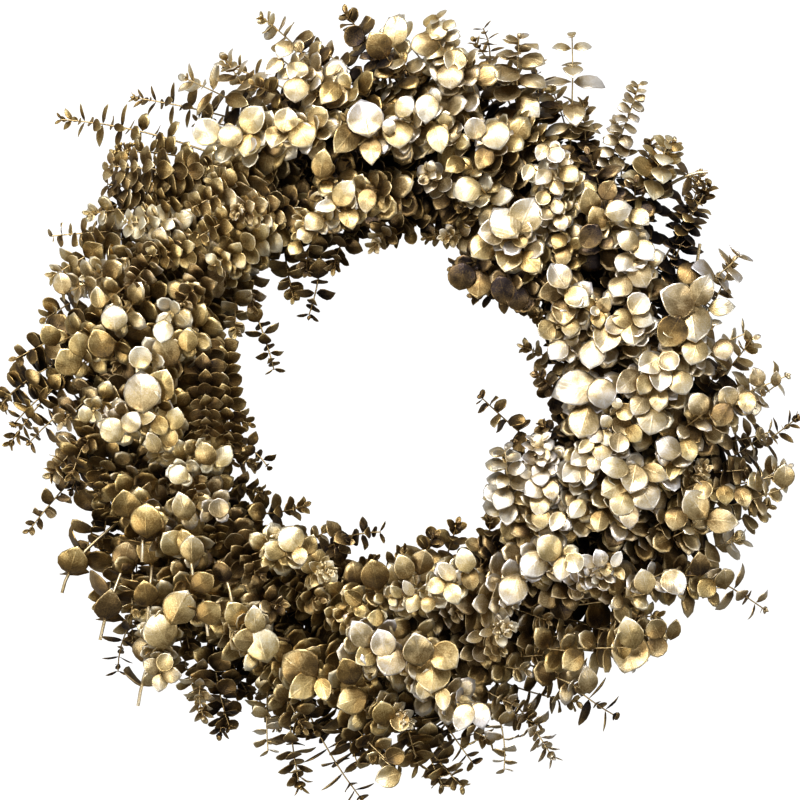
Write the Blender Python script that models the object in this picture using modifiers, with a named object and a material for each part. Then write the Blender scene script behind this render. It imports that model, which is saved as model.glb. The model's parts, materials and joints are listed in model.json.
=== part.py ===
"""Eucalyptus wreath: a wire frame, its binding wire and 54 leafy sprays, in metres, face up (+Z).

Every spray is a stalk tied to one of the frame's two rings, with twigs that flow counterclockwise
and leaves in opposite pairs. A twig or leaf that would touch another spray is bent clear of it.
"""

import math
import random

import bmesh
import bpy
from mathutils import Matrix, Vector
from mathutils.bvhtree import BVHTree

MM = 0.001

# Wire frame, in millimetres
RING_CENTRE = (-11.2, 5.6)
RING_INNER = 163.0
RING_OUTER = 203.0
RING_WIRE = 3.0
RING_HEIGHT = 3.4
RING_SEGMENTS = 36
RING_SIDES = 5
BRACES = 9
BRACE_WIDTH = 3.0
BRACE_HEIGHT = 2.6
BRACE_SINK = 0.8

# Binding wire, in millimetres, with the bearings of its turn at each tie in degrees
TIES = 27
TIE_STEP = 360.0 / TIES
TIE_FROM = 4.0
TIE_TO = 7.0
TIE_LOW = 1.3
TIE_HIGH = 8.7
TIE_SIDE = 3.4
TIE_RADIUS = 0.65
TIE_SIDES = 3
LAST_TURN_BACK = 2.0
LAST_TURN_OUT = 6.0

# Stems, in millimetres and degrees: a stalk lies along its ring, and its twigs fork off it
STALK_Z = 6.1
STALK_ARCS = (0.4, 5.5, 11.0)
FORK_SHARE = 0.7
STEM_RADIUS = 1.25
STEM_SIDES = 3
STEM_MARGIN = 0.45
TEST_SIDES = 4
PATH_POINTS = {"outer": 3, "inner": 2, "front": 2}
LEAN_POWER = 1.25
RISE_POWER = 0.95

# Leaves, in millimetres, with a width for a length of one
LEAF_THICK = 0.7
LEAF_WIDTH = 0.92
LEAF_REACH = 0.5
LEAF_MARGIN = 0.45
LEAF_OWN_GAP = 3.5
LOWEST_LEAF = 1.2
FOOT_BACK = (1.6, 3.5)
FOOT_OUT = 0.2

# Leaf pairs of a twig: distance from the tip in leaf lengths, size against the twig's leaf, and
# how many of the two leaves are here
PAIRS = {
    "outer": ((0.03, 1.0, 2), (1.2, 1.25, 2)),
    "inner": ((0.10, 1.2, 2),),
    "front": ((0.03, 1.35, 2), (0.75, 1.6, 1)),
}
# How far each kind turns its blades up to face the front
FACING = {"outer": 0.45, "inner": 0.35, "front": 0.65}

# What a twig or leaf tries in turn until it is clear of other sprays, in millimetres and degrees
LIFTS = (4, -4, 8, -8, 12, -12, 16)
SHIFTS = (0, 1.5, -1.5, 3)
BENDS = [(0, 0)] + [(lift, shift) for lift in LIFTS for shift in SHIFTS]
TURNS = (0, 16, -16, 32, -32, 50, -50)
SPREADS = (62, 46, 78)
SCALES = (1.0, 0.88, 0.76, 0.64)
SEED = 4471

# Tips of the twigs: bearing in degrees counterclockwise from +X, distance from the ring's centre,
# height, and leaf length
OUTER_TIPS = (
    (2.5, 322, 26, 30), (9, 297, 50, 28), (18, 300, 24, 26), (26, 280, 50, 28), (33, 300, 22, 30),
    (41.5, 308, 48, 26), (50.5, 322, 24, 24), (62, 324, 30, 32), (69.5, 302, 52, 28), (76, 306, 22, 26),
    (82.5, 302, 48, 26), (89, 308, 26, 32), (96, 308, 50, 28), (101.5, 298, 22, 26), (108, 321, 40, 28),
    (116, 308, 20, 26), (122, 300, 50, 30), (130, 325, 22, 26), (139.5, 345, 34, 24), (146, 285, 54, 28),
    (153, 300, 22, 30), (160, 284, 48, 28), (167, 292, 22, 28), (174, 297, 50, 28), (181, 308, 24, 30),
    (187, 303, 48, 26), (193.5, 306, 22, 30), (200.5, 306, 44, 26), (208, 298, 22, 30), (215, 300, 48, 26),
    (224, 306, 24, 30), (230.5, 312, 50, 28), (238, 298, 22, 28), (244.5, 302, 48, 30), (252, 300, 22, 28),
    (264, 322, 40, 30), (272, 308, 20, 28), (279, 315, 46, 30), (288, 318, 22, 28), (294.5, 318, 44, 28),
    (302, 300, 22, 26), (307.5, 308, 50, 26), (314, 298, 26, 34), (321, 300, 50, 28), (327, 288, 22, 28),
    (332, 345, 36, 26), (338, 305, 56, 32), (350, 326, 48, 28), (357, 333, 30, 28),
)
INNER_TIPS = (
    (0, 78, 34, 24), (20, 113, 30, 22), (35, 122, 44, 22), (49, 104, 28, 24), (62, 112, 44, 24),
    (76, 127, 30, 22), (90, 120, 44, 22), (103, 124, 28, 22), (117, 115, 44, 22), (125, 118, 46, 22),
    (135, 95, 28, 24), (146, 112, 44, 22), (164, 97, 30, 24), (176, 120, 46, 22), (189, 123, 28, 22),
    (205, 112, 44, 24), (218, 120, 28, 22), (232, 113, 44, 22), (246, 114, 28, 22), (264, 110, 42, 24),
    (277, 120, 30, 22), (289, 112, 46, 24), (300, 114, 28, 24), (312, 122, 44, 22), (325, 106, 28, 24),
    (337, 108, 46, 22), (349, 104, 54, 22), (8, 120, 48, 22),
)
FRONT_TIPS = (
    (4, 158, 96, 28), (17, 168, 84, 26), (29, 164, 100, 28), (43, 172, 82, 26), (54, 160, 104, 32),
    (68, 168, 84, 26), (80, 176, 96, 28), (101, 158, 102, 28), (115, 152, 88, 28),
    (128, 172, 100, 28), (142, 160, 84, 26), (155, 172, 98, 28), (168, 166, 84, 26), (180, 176, 102, 30),
    (195, 182, 88, 28), (208, 164, 98, 26), (221, 174, 84, 26), (235, 168, 98, 26), (248, 166, 84, 28),
    (262, 176, 98, 28), (275, 162, 84, 26), (289, 174, 96, 28), (302, 182, 104, 32), (313, 176, 86, 28),
    (327, 168, 98, 28), (343, 164, 86, 28), (354, 172, 98, 28),
    (2, 214, 98, 30), (15, 256, 72, 30), (25, 208, 98, 28), (39, 236, 78, 28), (52, 214, 98, 30),
    (65, 240, 78, 28), (78, 216, 96, 28), (91, 246, 76, 26), (116, 240, 78, 28),
    (129, 212, 96, 28), (143, 238, 76, 28), (156, 214, 96, 28), (169, 236, 78, 28), (186, 212, 98, 30),
    (199, 238, 76, 28), (213, 210, 98, 28), (226, 238, 76, 28), (242, 218, 96, 28), (255, 244, 76, 30),
    (268, 214, 98, 28), (282, 240, 76, 28), (295, 212, 96, 28), (308, 236, 78, 28), (320, 208, 96, 28),
    (334, 242, 78, 28), (345, 212, 102, 32),
)
# How far past its tie, in degrees, a twig of each kind may have its tip, and the distance past
# which a front twig grows from the outer ring
OUTER_WINDOW = 27.0
INNER_WINDOW = 24.0
FRONT_WINDOW = 25.0
FRONT_SPLIT = 195.0

# Colours, with the bearing of the palest sprays in degrees
STEEL = (0.20, 0.21, 0.20)
PALE = (0.62, 0.53, 0.36)
BRONZE = (0.33, 0.24, 0.13)
PALE_BEARING = 20.0


def polar(bearing, radius, z):
    """A point in metres from a bearing in degrees and a radius and height in millimetres."""
    angle = math.radians(bearing)
    x = RING_CENTRE[0] + radius * math.cos(angle)
    y = RING_CENTRE[1] + radius * math.sin(angle)
    return Vector((x, y, z)) * MM


def collection_named(name, helper=False):
    """A new collection in the scene, hidden from renders if it holds helpers."""
    made = bpy.data.collections.new(name)
    made.hide_render = helper
    bpy.context.scene.collection.children.link(made)
    return made


def material_named(name, colour, metallic, roughness):
    """A plain metallic paint."""
    material = bpy.data.materials.new(name)
    material.use_nodes = True
    shader = material.node_tree.nodes["Principled BSDF"]
    shader.inputs["Base Color"].default_value = (*colour, 1.0)
    shader.inputs["Metallic"].default_value = metallic
    shader.inputs["Roughness"].default_value = roughness
    material.diffuse_color = (*colour, 1.0)
    return material


def dressed(obj, material):
    """The object with one material alone."""
    obj.data.materials.clear()
    obj.data.materials.append(material)
    return obj


def helper_object(name, data, helpers):
    """An object that only shapes others."""
    made = bpy.data.objects.new(name, data)
    made.display_type = "WIRE"
    made.hide_render = True
    helpers.objects.link(made)
    return made


def evaluated_mesh(obj, weld=True):
    """The object's mesh with its modifiers or bevel applied and, for a curve, its seams welded."""
    bpy.context.view_layer.update()
    graph = bpy.context.evaluated_depsgraph_get()
    mesh = bpy.data.meshes.new_from_object(obj.evaluated_get(graph))
    if weld:
        work = bmesh.new()
        work.from_mesh(mesh)
        bmesh.ops.remove_doubles(work, verts=work.verts, dist=0.00001)
        bmesh.ops.recalc_face_normals(work, faces=work.faces)
        work.to_mesh(mesh)
        work.free()
    return mesh


def tube(name, points, radius, sides, helpers):
    """A closed bar through the points: a curve with a bevel profile and filled caps."""
    profile = bpy.data.curves.new(name + "_profile", "CURVE")
    profile.dimensions = "2D"
    ring = profile.splines.new("POLY")
    ring.points.add(sides - 1)
    for index, point in enumerate(ring.points):
        turn = math.tau * (index + 0.5) / sides - math.pi / 2
        point.co = (math.cos(turn) * MM, math.sin(turn) * MM, 0.0, 1.0)
    ring.use_cyclic_u = True
    profile_object = helper_object(name + "_profile", profile, helpers)
    curve = bpy.data.curves.new(name, "CURVE")
    curve.dimensions = "3D"
    curve.twist_mode = "Z_UP"
    curve.bevel_mode = "OBJECT"
    curve.bevel_object = profile_object
    curve.use_fill_caps = True
    spline = curve.splines.new("POLY")
    spline.points.add(len(points) - 1)
    for target, point in zip(spline.points, points):
        target.co = (*point, 1.0)
        target.radius = radius
    curve_object = helper_object(name, curve, helpers)
    mesh = evaluated_mesh(curve_object)
    bpy.data.objects.remove(curve_object)
    bpy.data.objects.remove(profile_object)
    return mesh


def fused(name, meshes, target):
    """One object from overlapping closed meshes, joined by one Boolean union."""
    operands = collection_named(name + "_operands", helper=True)
    base = bpy.data.objects.new(name, meshes[0])
    target.objects.link(base)
    for index, mesh in enumerate(meshes[1:]):
        helper_object(f"{name}_{index}", mesh, operands)
    union = base.modifiers.new("Union", "BOOLEAN")
    union.operation = "UNION"
    union.operand_type = "COLLECTION"
    union.collection = operands
    union.solver = "MANIFOLD"
    mesh = evaluated_mesh(base, weld=False)
    mesh.name = name
    base.modifiers.clear()
    base.data = mesh
    for piece in list(operands.objects):
        bpy.data.objects.remove(piece)
    bpy.data.collections.remove(operands)
    return base


def wire_ring(radius):
    """One round wire ring of the frame."""
    bpy.ops.mesh.primitive_torus_add(
        major_segments=RING_SEGMENTS, minor_segments=RING_SIDES,
        major_radius=radius * MM, minor_radius=RING_WIRE * MM / 2,
    )
    ring = bpy.context.object
    centre = (RING_CENTRE[0] * MM, RING_CENTRE[1] * MM, RING_HEIGHT * MM)
    ring.data.transform(Matrix.Translation(centre))
    mesh = ring.data
    bpy.data.objects.remove(ring)
    return mesh


def brace_bar(bearing):
    """One flat brace across the rings, whose underside the wreath rests on."""
    bpy.ops.mesh.primitive_cube_add(size=1.0)
    brace = bpy.context.object
    length = RING_OUTER - RING_INNER + 2 * BRACE_SINK
    size = Matrix.Diagonal((length * MM, BRACE_WIDTH * MM, BRACE_HEIGHT * MM, 1.0))
    place = Matrix.Translation(polar(bearing, (RING_OUTER + RING_INNER) / 2, BRACE_HEIGHT / 2))
    turn = Matrix.Rotation(math.radians(bearing), 4, "Z")
    brace.data.transform(place @ turn @ size)
    mesh = brace.data
    bpy.data.objects.remove(brace)
    return mesh


def wreath_frame(target):
    """Two wire rings welded to nine braces, one under the middle of every third tie."""
    meshes = [wire_ring(RING_INNER), wire_ring(RING_OUTER)]
    for index in range(BRACES):
        meshes.append(brace_bar(index * 360.0 / BRACES + (TIE_FROM + TIE_TO) / 2))
    frame = fused("wreath_frame", meshes, target)
    return dressed(frame, material_named("wreath_frame", STEEL, 0.6, 0.5))


def binding_wire(target, helpers):
    """One thin wire wound round both rings, over the stalks and back under, once for each tie."""
    inside = RING_INNER - TIE_SIDE
    outside = RING_OUTER + TIE_SIDE
    points = []
    for index in range(TIES):
        start = index * TIE_STEP
        points.append(polar(start + TIE_FROM, inside, TIE_LOW))
        points.append(polar(start + TIE_FROM, inside, TIE_HIGH))
        points.append(polar(start + TIE_TO, outside, TIE_HIGH))
        points.append(polar(start + TIE_TO, outside, TIE_LOW))
    points.append(polar(360.0 + TIE_FROM - LAST_TURN_BACK, RING_INNER + LAST_TURN_OUT, TIE_LOW))
    mesh = tube("binding_wire", points, TIE_RADIUS, TIE_SIDES, helpers)
    wire = bpy.data.objects.new("binding_wire", mesh)
    target.objects.link(wire)
    return dressed(wire, material_named("binding_wire", STEEL, 0.7, 0.45))


def leaf_master(name, length, width, thick, helpers):
    """A round blade with its foot at the origin, given its thickness by Solidify."""
    right = [(length * 0.36, width * 0.5, 0.0), (length * 0.86, width * 0.34, 0.0)]
    left = [(x, -y, 0.0) for x, y, _ in reversed(right)]
    points = [(0.0, 0.0, 0.0), *right, *left]
    mesh = bpy.data.meshes.new(name)
    mesh.from_pydata(points, [], [list(range(len(points)))])
    master = helper_object(name, mesh, helpers)
    shell = master.modifiers.new("Solidify", "SOLIDIFY")
    shell.thickness = thick
    shell.offset = 0.0
    made = evaluated_mesh(master)
    bpy.data.objects.remove(master)
    return made


def leaf_matrix(base, along, side, spread, facing, length):
    """Places a leaf on its stem: spread is its angle from the stem's line, side its way out."""
    outward = (side - along * side.dot(along)).normalized()
    direction = along * math.cos(spread) + outward * math.sin(spread)
    normal = along * math.sin(spread) - outward * math.cos(spread)
    normal = normal * (1.0 - facing) + Vector((0, 0, 1)) * facing
    normal = (normal - direction * normal.dot(direction)).normalized()
    across = normal.cross(direction)
    turn = Matrix((direction, across, normal)).transposed().to_4x4()
    return Matrix.Translation(base) @ turn @ Matrix.Diagonal((length, length, MM, 1.0))


class Shape:
    """Points and faces kept for the clearance tests of one node."""

    def __init__(self):
        self.points = []
        self.faces = []
        self.tree = None
        self.low = Vector((9, 9, 9))
        self.high = Vector((-9, -9, -9))

    def add(self, points, faces):
        """Takes in one more closed mesh."""
        first = len(self.points)
        self.points.extend(points)
        self.faces.extend([[first + i for i in face] for face in faces])
        self.tree = BVHTree.FromPolygons(self.points, self.faces)
        for axis in range(3):
            self.low[axis] = min(self.low[axis], min(p[axis] for p in points))
            self.high[axis] = max(self.high[axis], max(p[axis] for p in points))

    def touches(self, tree, low, high):
        """Whether a tree of faces with the given box crosses this shape."""
        for axis in range(3):
            if low[axis] > self.high[axis] or high[axis] < self.low[axis]:
                return False
        return bool(self.tree.overlap(tree))


def mesh_shape(mesh, matrix=None):
    """The mesh's points, moved by the matrix, and its faces."""
    matrix = matrix or Matrix()
    return [matrix @ v.co for v in mesh.vertices], [list(p.vertices) for p in mesh.polygons]


def clear_of(shapes, own, points, faces):
    """Whether the faces cross no shape but the one named own."""
    tree = BVHTree.FromPolygons(points, faces)
    low = [min(p[axis] for p in points) for axis in range(3)]
    high = [max(p[axis] for p in points) for axis in range(3)]
    return not any(shape.touches(tree, low, high) for name, shape in shapes.items() if name != own)


class Twig:
    """A stem's points, leaf length and kind, for placing leaves by distance from the tip."""

    def __init__(self, points, leaf, kind):
        self.points = points
        self.leaf = leaf
        self.kind = kind

    def at(self, distance):
        """Position and direction at a distance back from the tip, at most its whole length."""
        left = distance
        for after, before in zip(reversed(self.points), reversed(self.points[:-1])):
            length = (after - before).length
            if left <= length:
                break
            left -= length
        return after.lerp(before, min(left / length, 1.0)), (after - before).normalized()


def twig_path(start, ring, tip, kind, lift, shift):
    """Points from the end of a stalk to the tip, leaving along the ring and then leaning away."""
    bearing, reach, height, leaf = tip
    if kind != "front":
        reach -= math.copysign(LEAF_REACH * leaf, reach - ring)
    first = start + STALK_ARCS[-1]
    span = (bearing + shift - first) % 360.0
    points = []
    for index in range(PATH_POINTS[kind]):
        t = (index + 1) / PATH_POINTS[kind]
        radius = ring + (reach - ring) * t ** LEAN_POWER
        z = STALK_Z + (height + lift - STALK_Z) * t ** RISE_POWER
        points.append(polar(first + span * t, radius, z))
    return points


def stations():
    """Each spray's tie and ring with the tips of its twigs, by node name."""
    found = {}
    for index in range(TIES):
        found[f"spray_out_{index:02d}"] = (index * TIE_STEP, RING_OUTER, [])
        found[f"spray_in_{index:02d}"] = (index * TIE_STEP, RING_INNER, [])
    lists = (
        (OUTER_TIPS, OUTER_WINDOW, "out", "outer"),
        (INNER_TIPS, INNER_WINDOW, "in", "inner"),
        ([tip for tip in FRONT_TIPS if tip[1] > FRONT_SPLIT], FRONT_WINDOW, "out", "front"),
        ([tip for tip in FRONT_TIPS if tip[1] <= FRONT_SPLIT], FRONT_WINDOW, "in", "front"),
    )
    for tips, window, lane, kind in lists:
        for tip in tips:
            index = int(((tip[0] - window) % 360.0) // TIE_STEP)
            found[f"spray_{lane}_{index:02d}"][2].append((tip, kind))
    return found


def clear_path(name, start, ring, tip, kind, root, shapes, helpers):
    """A twig's path in the first bend that is clear of every other node, or None."""
    for lift, shift in BENDS:
        path = twig_path(start, ring, tip, kind, lift, shift)
        test = tube("test", root + path, STEM_RADIUS + STEM_MARGIN, TEST_SIDES, helpers)
        shape = mesh_shape(test)
        bpy.data.meshes.remove(test)
        if clear_of(shapes, name, *shape):
            return path
    print("no clear way for", name, kind, tip)
    return None


def grow_stems(shapes, helpers):
    """Stems of every spray: the first twig carries its stalk on, and the others fork off it."""
    grown = {}
    for name, (start, ring, tips) in stations().items():
        stalk = [polar(start + arc, ring, STALK_Z) for arc in STALK_ARCS]
        fork = stalk[1].lerp(stalk[2], FORK_SHARE)
        meshes = []
        twigs = []
        for tip, kind in tips:
            root = [fork] if twigs else stalk[1:]
            path = clear_path(name, start, ring, tip, kind, root, shapes, helpers)
            if path is None:
                continue
            points = root + path if twigs else stalk + path
            mesh = tube(name, points, STEM_RADIUS, STEM_SIDES, helpers)
            shapes.setdefault(name, Shape()).add(*mesh_shape(mesh))
            meshes.append(mesh)
            twigs.append(Twig(root[-1:] + path, tip[3], kind))
        grown[name] = (meshes, twigs)
    return grown


def place_leaf(twig, row, half, roll, name, shapes, margin):
    """The matrix of a leaf clear of every other spray and of its own spray's leaves, or None."""
    where, size, _ = PAIRS[twig.kind][row]
    base, along = twig.at((where * twig.leaf + FOOT_BACK[half]) * MM)
    side = along.cross(Vector((0, 0, 1)))
    own = {name: shapes[name]}
    for scale in SCALES:
        length = twig.leaf * size * scale * MM
        for turn in TURNS:
            way = Matrix.Rotation(math.radians(roll + 90 * row + turn), 3, along) @ side
            foot = base + way * FOOT_OUT * MM
            for spread in SPREADS:
                matrix = leaf_matrix(foot, along, way, math.radians(spread), FACING[twig.kind], length)
                points, faces = mesh_shape(margin, matrix)
                if min(p.z for p in points) < LOWEST_LEAF * MM:
                    continue
                away = matrix.col[0].xyz.normalized() * LEAF_OWN_GAP * MM
                moved = [p + away for p in points]
                if clear_of(shapes, name, points, faces) and clear_of(own, None, moved, faces):
                    return matrix
    return None


def grow_leaves(grown, shapes, helpers):
    """Leaves for every twig, the pair at the tip first, so that no spray crowds out the next."""
    solid = leaf_master("leaf", 1.0, LEAF_WIDTH, LEAF_THICK, helpers)
    thick = LEAF_THICK + 2 * LEAF_MARGIN
    margin = leaf_master("leaf_margin", 1.03, LEAF_WIDTH + 0.06, thick, helpers)
    leaves = {name: [] for name in grown}
    twigs = [(name, twig) for name, (_, twigs) in grown.items() for twig in twigs]
    rolls = [random.uniform(0, 180) for _ in twigs]
    for row in range(max(len(pairs) for pairs in PAIRS.values())):
        for (name, twig), roll in zip(twigs, rolls):
            if row >= len(PAIRS[twig.kind]):
                continue
            for half in range(PAIRS[twig.kind][row][2]):
                matrix = place_leaf(twig, row, half, roll + 180 * half, name, shapes, margin)
                if matrix is None:
                    print("no clear place for a leaf of", name)
                    continue
                mesh = solid.copy()
                mesh.transform(matrix)
                leaves[name].append(mesh)
                shapes[name].add(*mesh_shape(mesh))
    return leaves


def spray_colour(name):
    """Paler paint at the right of the wreath, browner at the left, by the spray's tie."""
    bearing = int(name[-2:]) * TIE_STEP
    share = 0.5 + 0.5 * math.cos(math.radians(bearing - PALE_BEARING))
    return [brown + (pale - brown) * share for brown, pale in zip(BRONZE, PALE)]


def centred(objects):
    """Moves everything so that the middle of its underside lies at the origin."""
    points = [obj.matrix_world @ v.co for obj in objects for v in obj.data.vertices]
    low = [min(p[axis] for p in points) for axis in range(3)]
    high = [max(p[axis] for p in points) for axis in range(3)]
    shift = Vector((-(low[0] + high[0]) / 2, -(low[1] + high[1]) / 2, -low[2]))
    for obj in objects:
        obj.data.transform(Matrix.Translation(shift))


def main():
    """Builds the wreath in its own collection."""
    for obj in list(bpy.data.objects):
        bpy.data.objects.remove(obj)
    random.seed(SEED)
    wreath = collection_named("eucalyptus_wreath")
    helpers = collection_named("helpers", helper=True)
    shapes = {}
    for wire in (wreath_frame(wreath), binding_wire(wreath, helpers)):
        shapes[wire.name] = Shape()
        shapes[wire.name].add(*mesh_shape(wire.data))
    grown = grow_stems(shapes, helpers)
    leaves = grow_leaves(grown, shapes, helpers)
    for name, (meshes, _) in grown.items():
        spray = fused(name, meshes + leaves[name], wreath)
        dressed(spray, material_named(name, spray_colour(name), 0.5, 0.4))
    centred(list(wreath.objects))


main()
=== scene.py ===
"""Dresses the eucalyptus wreath: fine painted leaves, twigs, buds, wire frame and the stage."""

import json
import math
import random
from collections import namedtuple

import bmesh
import bpy
from mathutils import Matrix, Vector

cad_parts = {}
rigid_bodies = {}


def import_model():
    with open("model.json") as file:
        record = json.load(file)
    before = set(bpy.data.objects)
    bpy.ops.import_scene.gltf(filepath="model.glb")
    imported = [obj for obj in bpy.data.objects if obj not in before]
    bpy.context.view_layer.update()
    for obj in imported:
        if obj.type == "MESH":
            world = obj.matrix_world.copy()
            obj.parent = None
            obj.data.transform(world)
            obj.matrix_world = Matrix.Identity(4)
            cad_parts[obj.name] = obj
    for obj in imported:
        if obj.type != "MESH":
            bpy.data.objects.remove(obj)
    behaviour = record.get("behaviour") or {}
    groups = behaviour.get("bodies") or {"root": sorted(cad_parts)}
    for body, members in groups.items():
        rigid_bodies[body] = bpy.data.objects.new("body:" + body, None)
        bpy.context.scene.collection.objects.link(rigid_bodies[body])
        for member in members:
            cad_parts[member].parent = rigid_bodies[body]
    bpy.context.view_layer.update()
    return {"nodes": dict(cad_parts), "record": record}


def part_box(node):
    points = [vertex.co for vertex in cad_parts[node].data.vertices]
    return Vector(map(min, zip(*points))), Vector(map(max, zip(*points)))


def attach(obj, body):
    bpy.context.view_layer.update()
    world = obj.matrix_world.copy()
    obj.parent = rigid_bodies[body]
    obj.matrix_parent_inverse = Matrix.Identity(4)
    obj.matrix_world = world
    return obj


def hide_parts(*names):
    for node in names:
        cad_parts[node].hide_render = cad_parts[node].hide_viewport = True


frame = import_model()

bl_info = {
    "name": "Eucalyptus wreath",
    "version": (1, 0, 0),
    "blender": (4, 5, 0),
    "location": "View3D > Sidebar > Wreath",
    "description": "Painted eucalyptus sprigs flowing round a wire frame",
    "category": "Add Mesh",
}

MM = 0.001
BODY = "root"
UP = Vector((0, 0, 1))

# The frame that carries the sprigs, read from the model; its own sizes are in millimetres
FRAME_LOW, FRAME_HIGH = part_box("wreath_frame")
RING_CENTRE = (FRAME_LOW + FRAME_HIGH) / 2
RING_INNER = 163.0
RING_OUTER = 203.0
TIES = 27
TIE_STEP = 360.0 / TIES

# A stalk lies along its ring at this height, up to this many degrees past its tie, through points
# at these bearings from it
STALK_Z = 6.1
STALK_ARC = 11.0
STALK_BEARINGS = (3.0, 7.0, STALK_ARC)

# Sprigs are listed with their tip's bearing in degrees counterclockwise from +X, its distance from
# the ring's centre and height in millimetres, their full leaf's length, and two letters: the paint
# (w white gold, p pale champagne, g gold, b bronze, d dark bronze) and the form (r round leaves,
# c shingled round ones, o oval, n narrow, k oval with bud heads at the tip, s with a bare cut end)
RIM_SPRIGS = (
    (2.5, 298, 26, 20, "pr"), (9, 297, 50, 18, "gr"), (18, 284, 24, 17, "po"), (21.5, 300, 40, 13, "go"),
    (26, 280, 50, 18, "bs"), (33, 300, 22, 20, "dr"), (35.5, 312, 36, 12, "gk"), (41.5, 308, 48, 15, "pr"),
    (44, 298, 31, 14, "br"), (50.5, 300, 24, 12, "po"), (56, 285, 40, 16, "gr"), (62, 285, 30, 20, "pr"),
    (69.5, 280, 52, 18, "wr"), (76, 306, 22, 14, "gn"), (82.5, 302, 48, 16, "wr"), (89, 308, 26, 24, "wr"),
    (96, 308, 50, 18, "dr"), (101.5, 298, 22, 17, "gr"), (108, 321, 40, 17, "pr"), (116, 308, 20, 15, "gn"),
    (122, 300, 50, 25, "wn"), (130, 325, 22, 14, "bn"), (138, 294, 44, 12, "bk"),
    (139.5, 345, 34, 14, "bn"), (146, 270, 54, 18, "dr"), (153, 278, 22, 20, "br"),
    (160, 284, 48, 17, "gr"), (167, 292, 22, 18, "br"), (174, 297, 50, 17, "br"), (181, 312, 32, 20, "dr"),
    (187, 303, 48, 14, "bn"), (193.5, 278, 22, 19, "br"), (200.5, 306, 44, 14, "bn"),
    (208, 286, 22, 20, "br"), (217, 284, 40, 18, "br"), (224, 294, 24, 18, "br"), (231, 288, 42, 18, "br"),
    (238, 298, 22, 15, "gr"), (244.5, 292, 48, 18, "dr"), (252, 290, 22, 13, "po"),
    (258, 274, 50, 18, "br"), (266, 286, 30, 17, "dr"), (272, 308, 20, 18, "br"), (281, 318, 46, 18, "br"),
    (287, 290, 36, 17, "br"), (295, 292, 36, 16, "br"), (302, 300, 22, 17, "br"), (314, 298, 26, 27, "wr"),
    (321, 280, 50, 19, "gr"), (327, 288, 22, 18, "pr"), (338, 305, 56, 23, "wr"), (344, 322, 31, 18, "gr"),
    (350, 326, 48, 17, "pr"), (354, 306, 31, 18, "gr"), (357, 333, 30, 15, "dn"),
)
HOLE_SPRIGS = (
    (9, 116, 56, 14, "br"), (20, 113, 30, 14, "pr"), (29, 130, 58, 14, "gr"), (36, 128, 44, 14, "gr"),
    (49, 104, 28, 17, "dr"), (62, 112, 44, 17, "dr"), (70, 130, 62, 14, "pr"), (76, 127, 30, 13, "gr"),
    (90, 120, 44, 14, "br"), (95, 113, 62, 14, "pr"), (103, 124, 28, 14, "gr"), (112, 106, 46, 16, "br"),
    (122, 114, 46, 15, "br"), (133, 104, 40, 15, "br"), (146, 122, 44, 15, "br"), (157, 124, 58, 14, "go"),
    (176, 120, 46, 14, "br"), (191, 108, 30, 15, "br"), (199, 118, 60, 14, "br"), (207, 113, 44, 15, "br"),
    (218, 120, 28, 14, "br"), (233, 104, 44, 15, "br"), (246, 114, 28, 15, "gr"), (255, 112, 60, 14, "bo"),
    (266, 126, 42, 15, "dr"), (277, 120, 30, 14, "br"), (289, 112, 46, 17, "dr"), (299, 113, 28, 17, "dr"),
    (311, 122, 44, 14, "br"), (322, 107, 28, 16, "gr"), (333, 105, 58, 15, "br"), (341, 106, 46, 15, "dr"),
    (350, 122, 54, 15, "dr"),
)
FACE_SPRIGS = (
    (4, 158, 87, 20, "pc"), (17, 168, 75, 18, "pc"), (29, 164, 91, 18, "gc"), (43, 172, 73, 17, "gc"),
    (54, 163, 97, 20, "pc"), (68, 168, 75, 17, "gc"), (80, 176, 87, 18, "pc"), (93, 170, 75, 17, "gc"),
    (101, 158, 93, 20, "pc"), (115, 152, 81, 20, "po"), (128, 172, 91, 18, "gc"), (142, 160, 75, 17, "bc"),
    (155, 172, 89, 18, "bc"), (168, 166, 75, 18, "gc"), (178, 184, 93, 20, "pc"), (195, 182, 79, 19, "pc"),
    (208, 164, 89, 18, "bc"), (221, 174, 75, 18, "bc"), (235, 168, 89, 18, "bc"), (248, 166, 75, 17, "bc"),
    (262, 176, 89, 18, "gc"), (275, 162, 75, 18, "bc"), (289, 174, 87, 18, "gc"), (302, 184, 95, 20, "pc"),
    (313, 180, 79, 20, "pc"), (327, 168, 89, 18, "gc"), (343, 168, 77, 19, "gc"), (354, 172, 89, 20, "pc"),
    (252, 141, 98, 14, "pk"), (298.5, 200, 102, 14, "pk"), (347.5, 253, 88, 14, "gk"),
    (129, 180, 104, 14, "gk"), (274, 252, 88, 14, "pk"), (2, 214, 89, 20, "pc"), (15, 256, 63, 20, "pc"),
    (20, 204, 87, 19, "pc"), (28, 210, 81, 18, "gc"), (39, 236, 69, 18, "gc"), (52, 214, 89, 20, "pc"),
    (65, 240, 69, 18, "gc"), (78, 216, 87, 18, "gc"), (91, 246, 67, 18, "pc"), (98, 212, 91, 20, "gc"),
    (104, 248, 61, 18, "gc"), (116, 240, 69, 20, "gc"), (129, 212, 87, 18, "gc"), (143, 238, 67, 18, "bc"),
    (156, 214, 87, 18, "bc"), (169, 236, 69, 18, "bc"), (186, 212, 89, 20, "pc"), (199, 238, 67, 19, "bc"),
    (213, 206, 89, 20, "pc"), (226, 238, 67, 18, "bc"), (242, 218, 87, 20, "gc"), (255, 244, 67, 20, "gc"),
    (268, 214, 89, 18, "bc"), (282, 240, 67, 18, "gc"), (295, 212, 87, 18, "bc"), (308, 236, 69, 19, "gc"),
    (320, 206, 87, 20, "pc"), (334, 242, 69, 20, "pc"), (343, 208, 93, 20, "pc"), (352, 240, 65, 18, "gc"),
)
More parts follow.
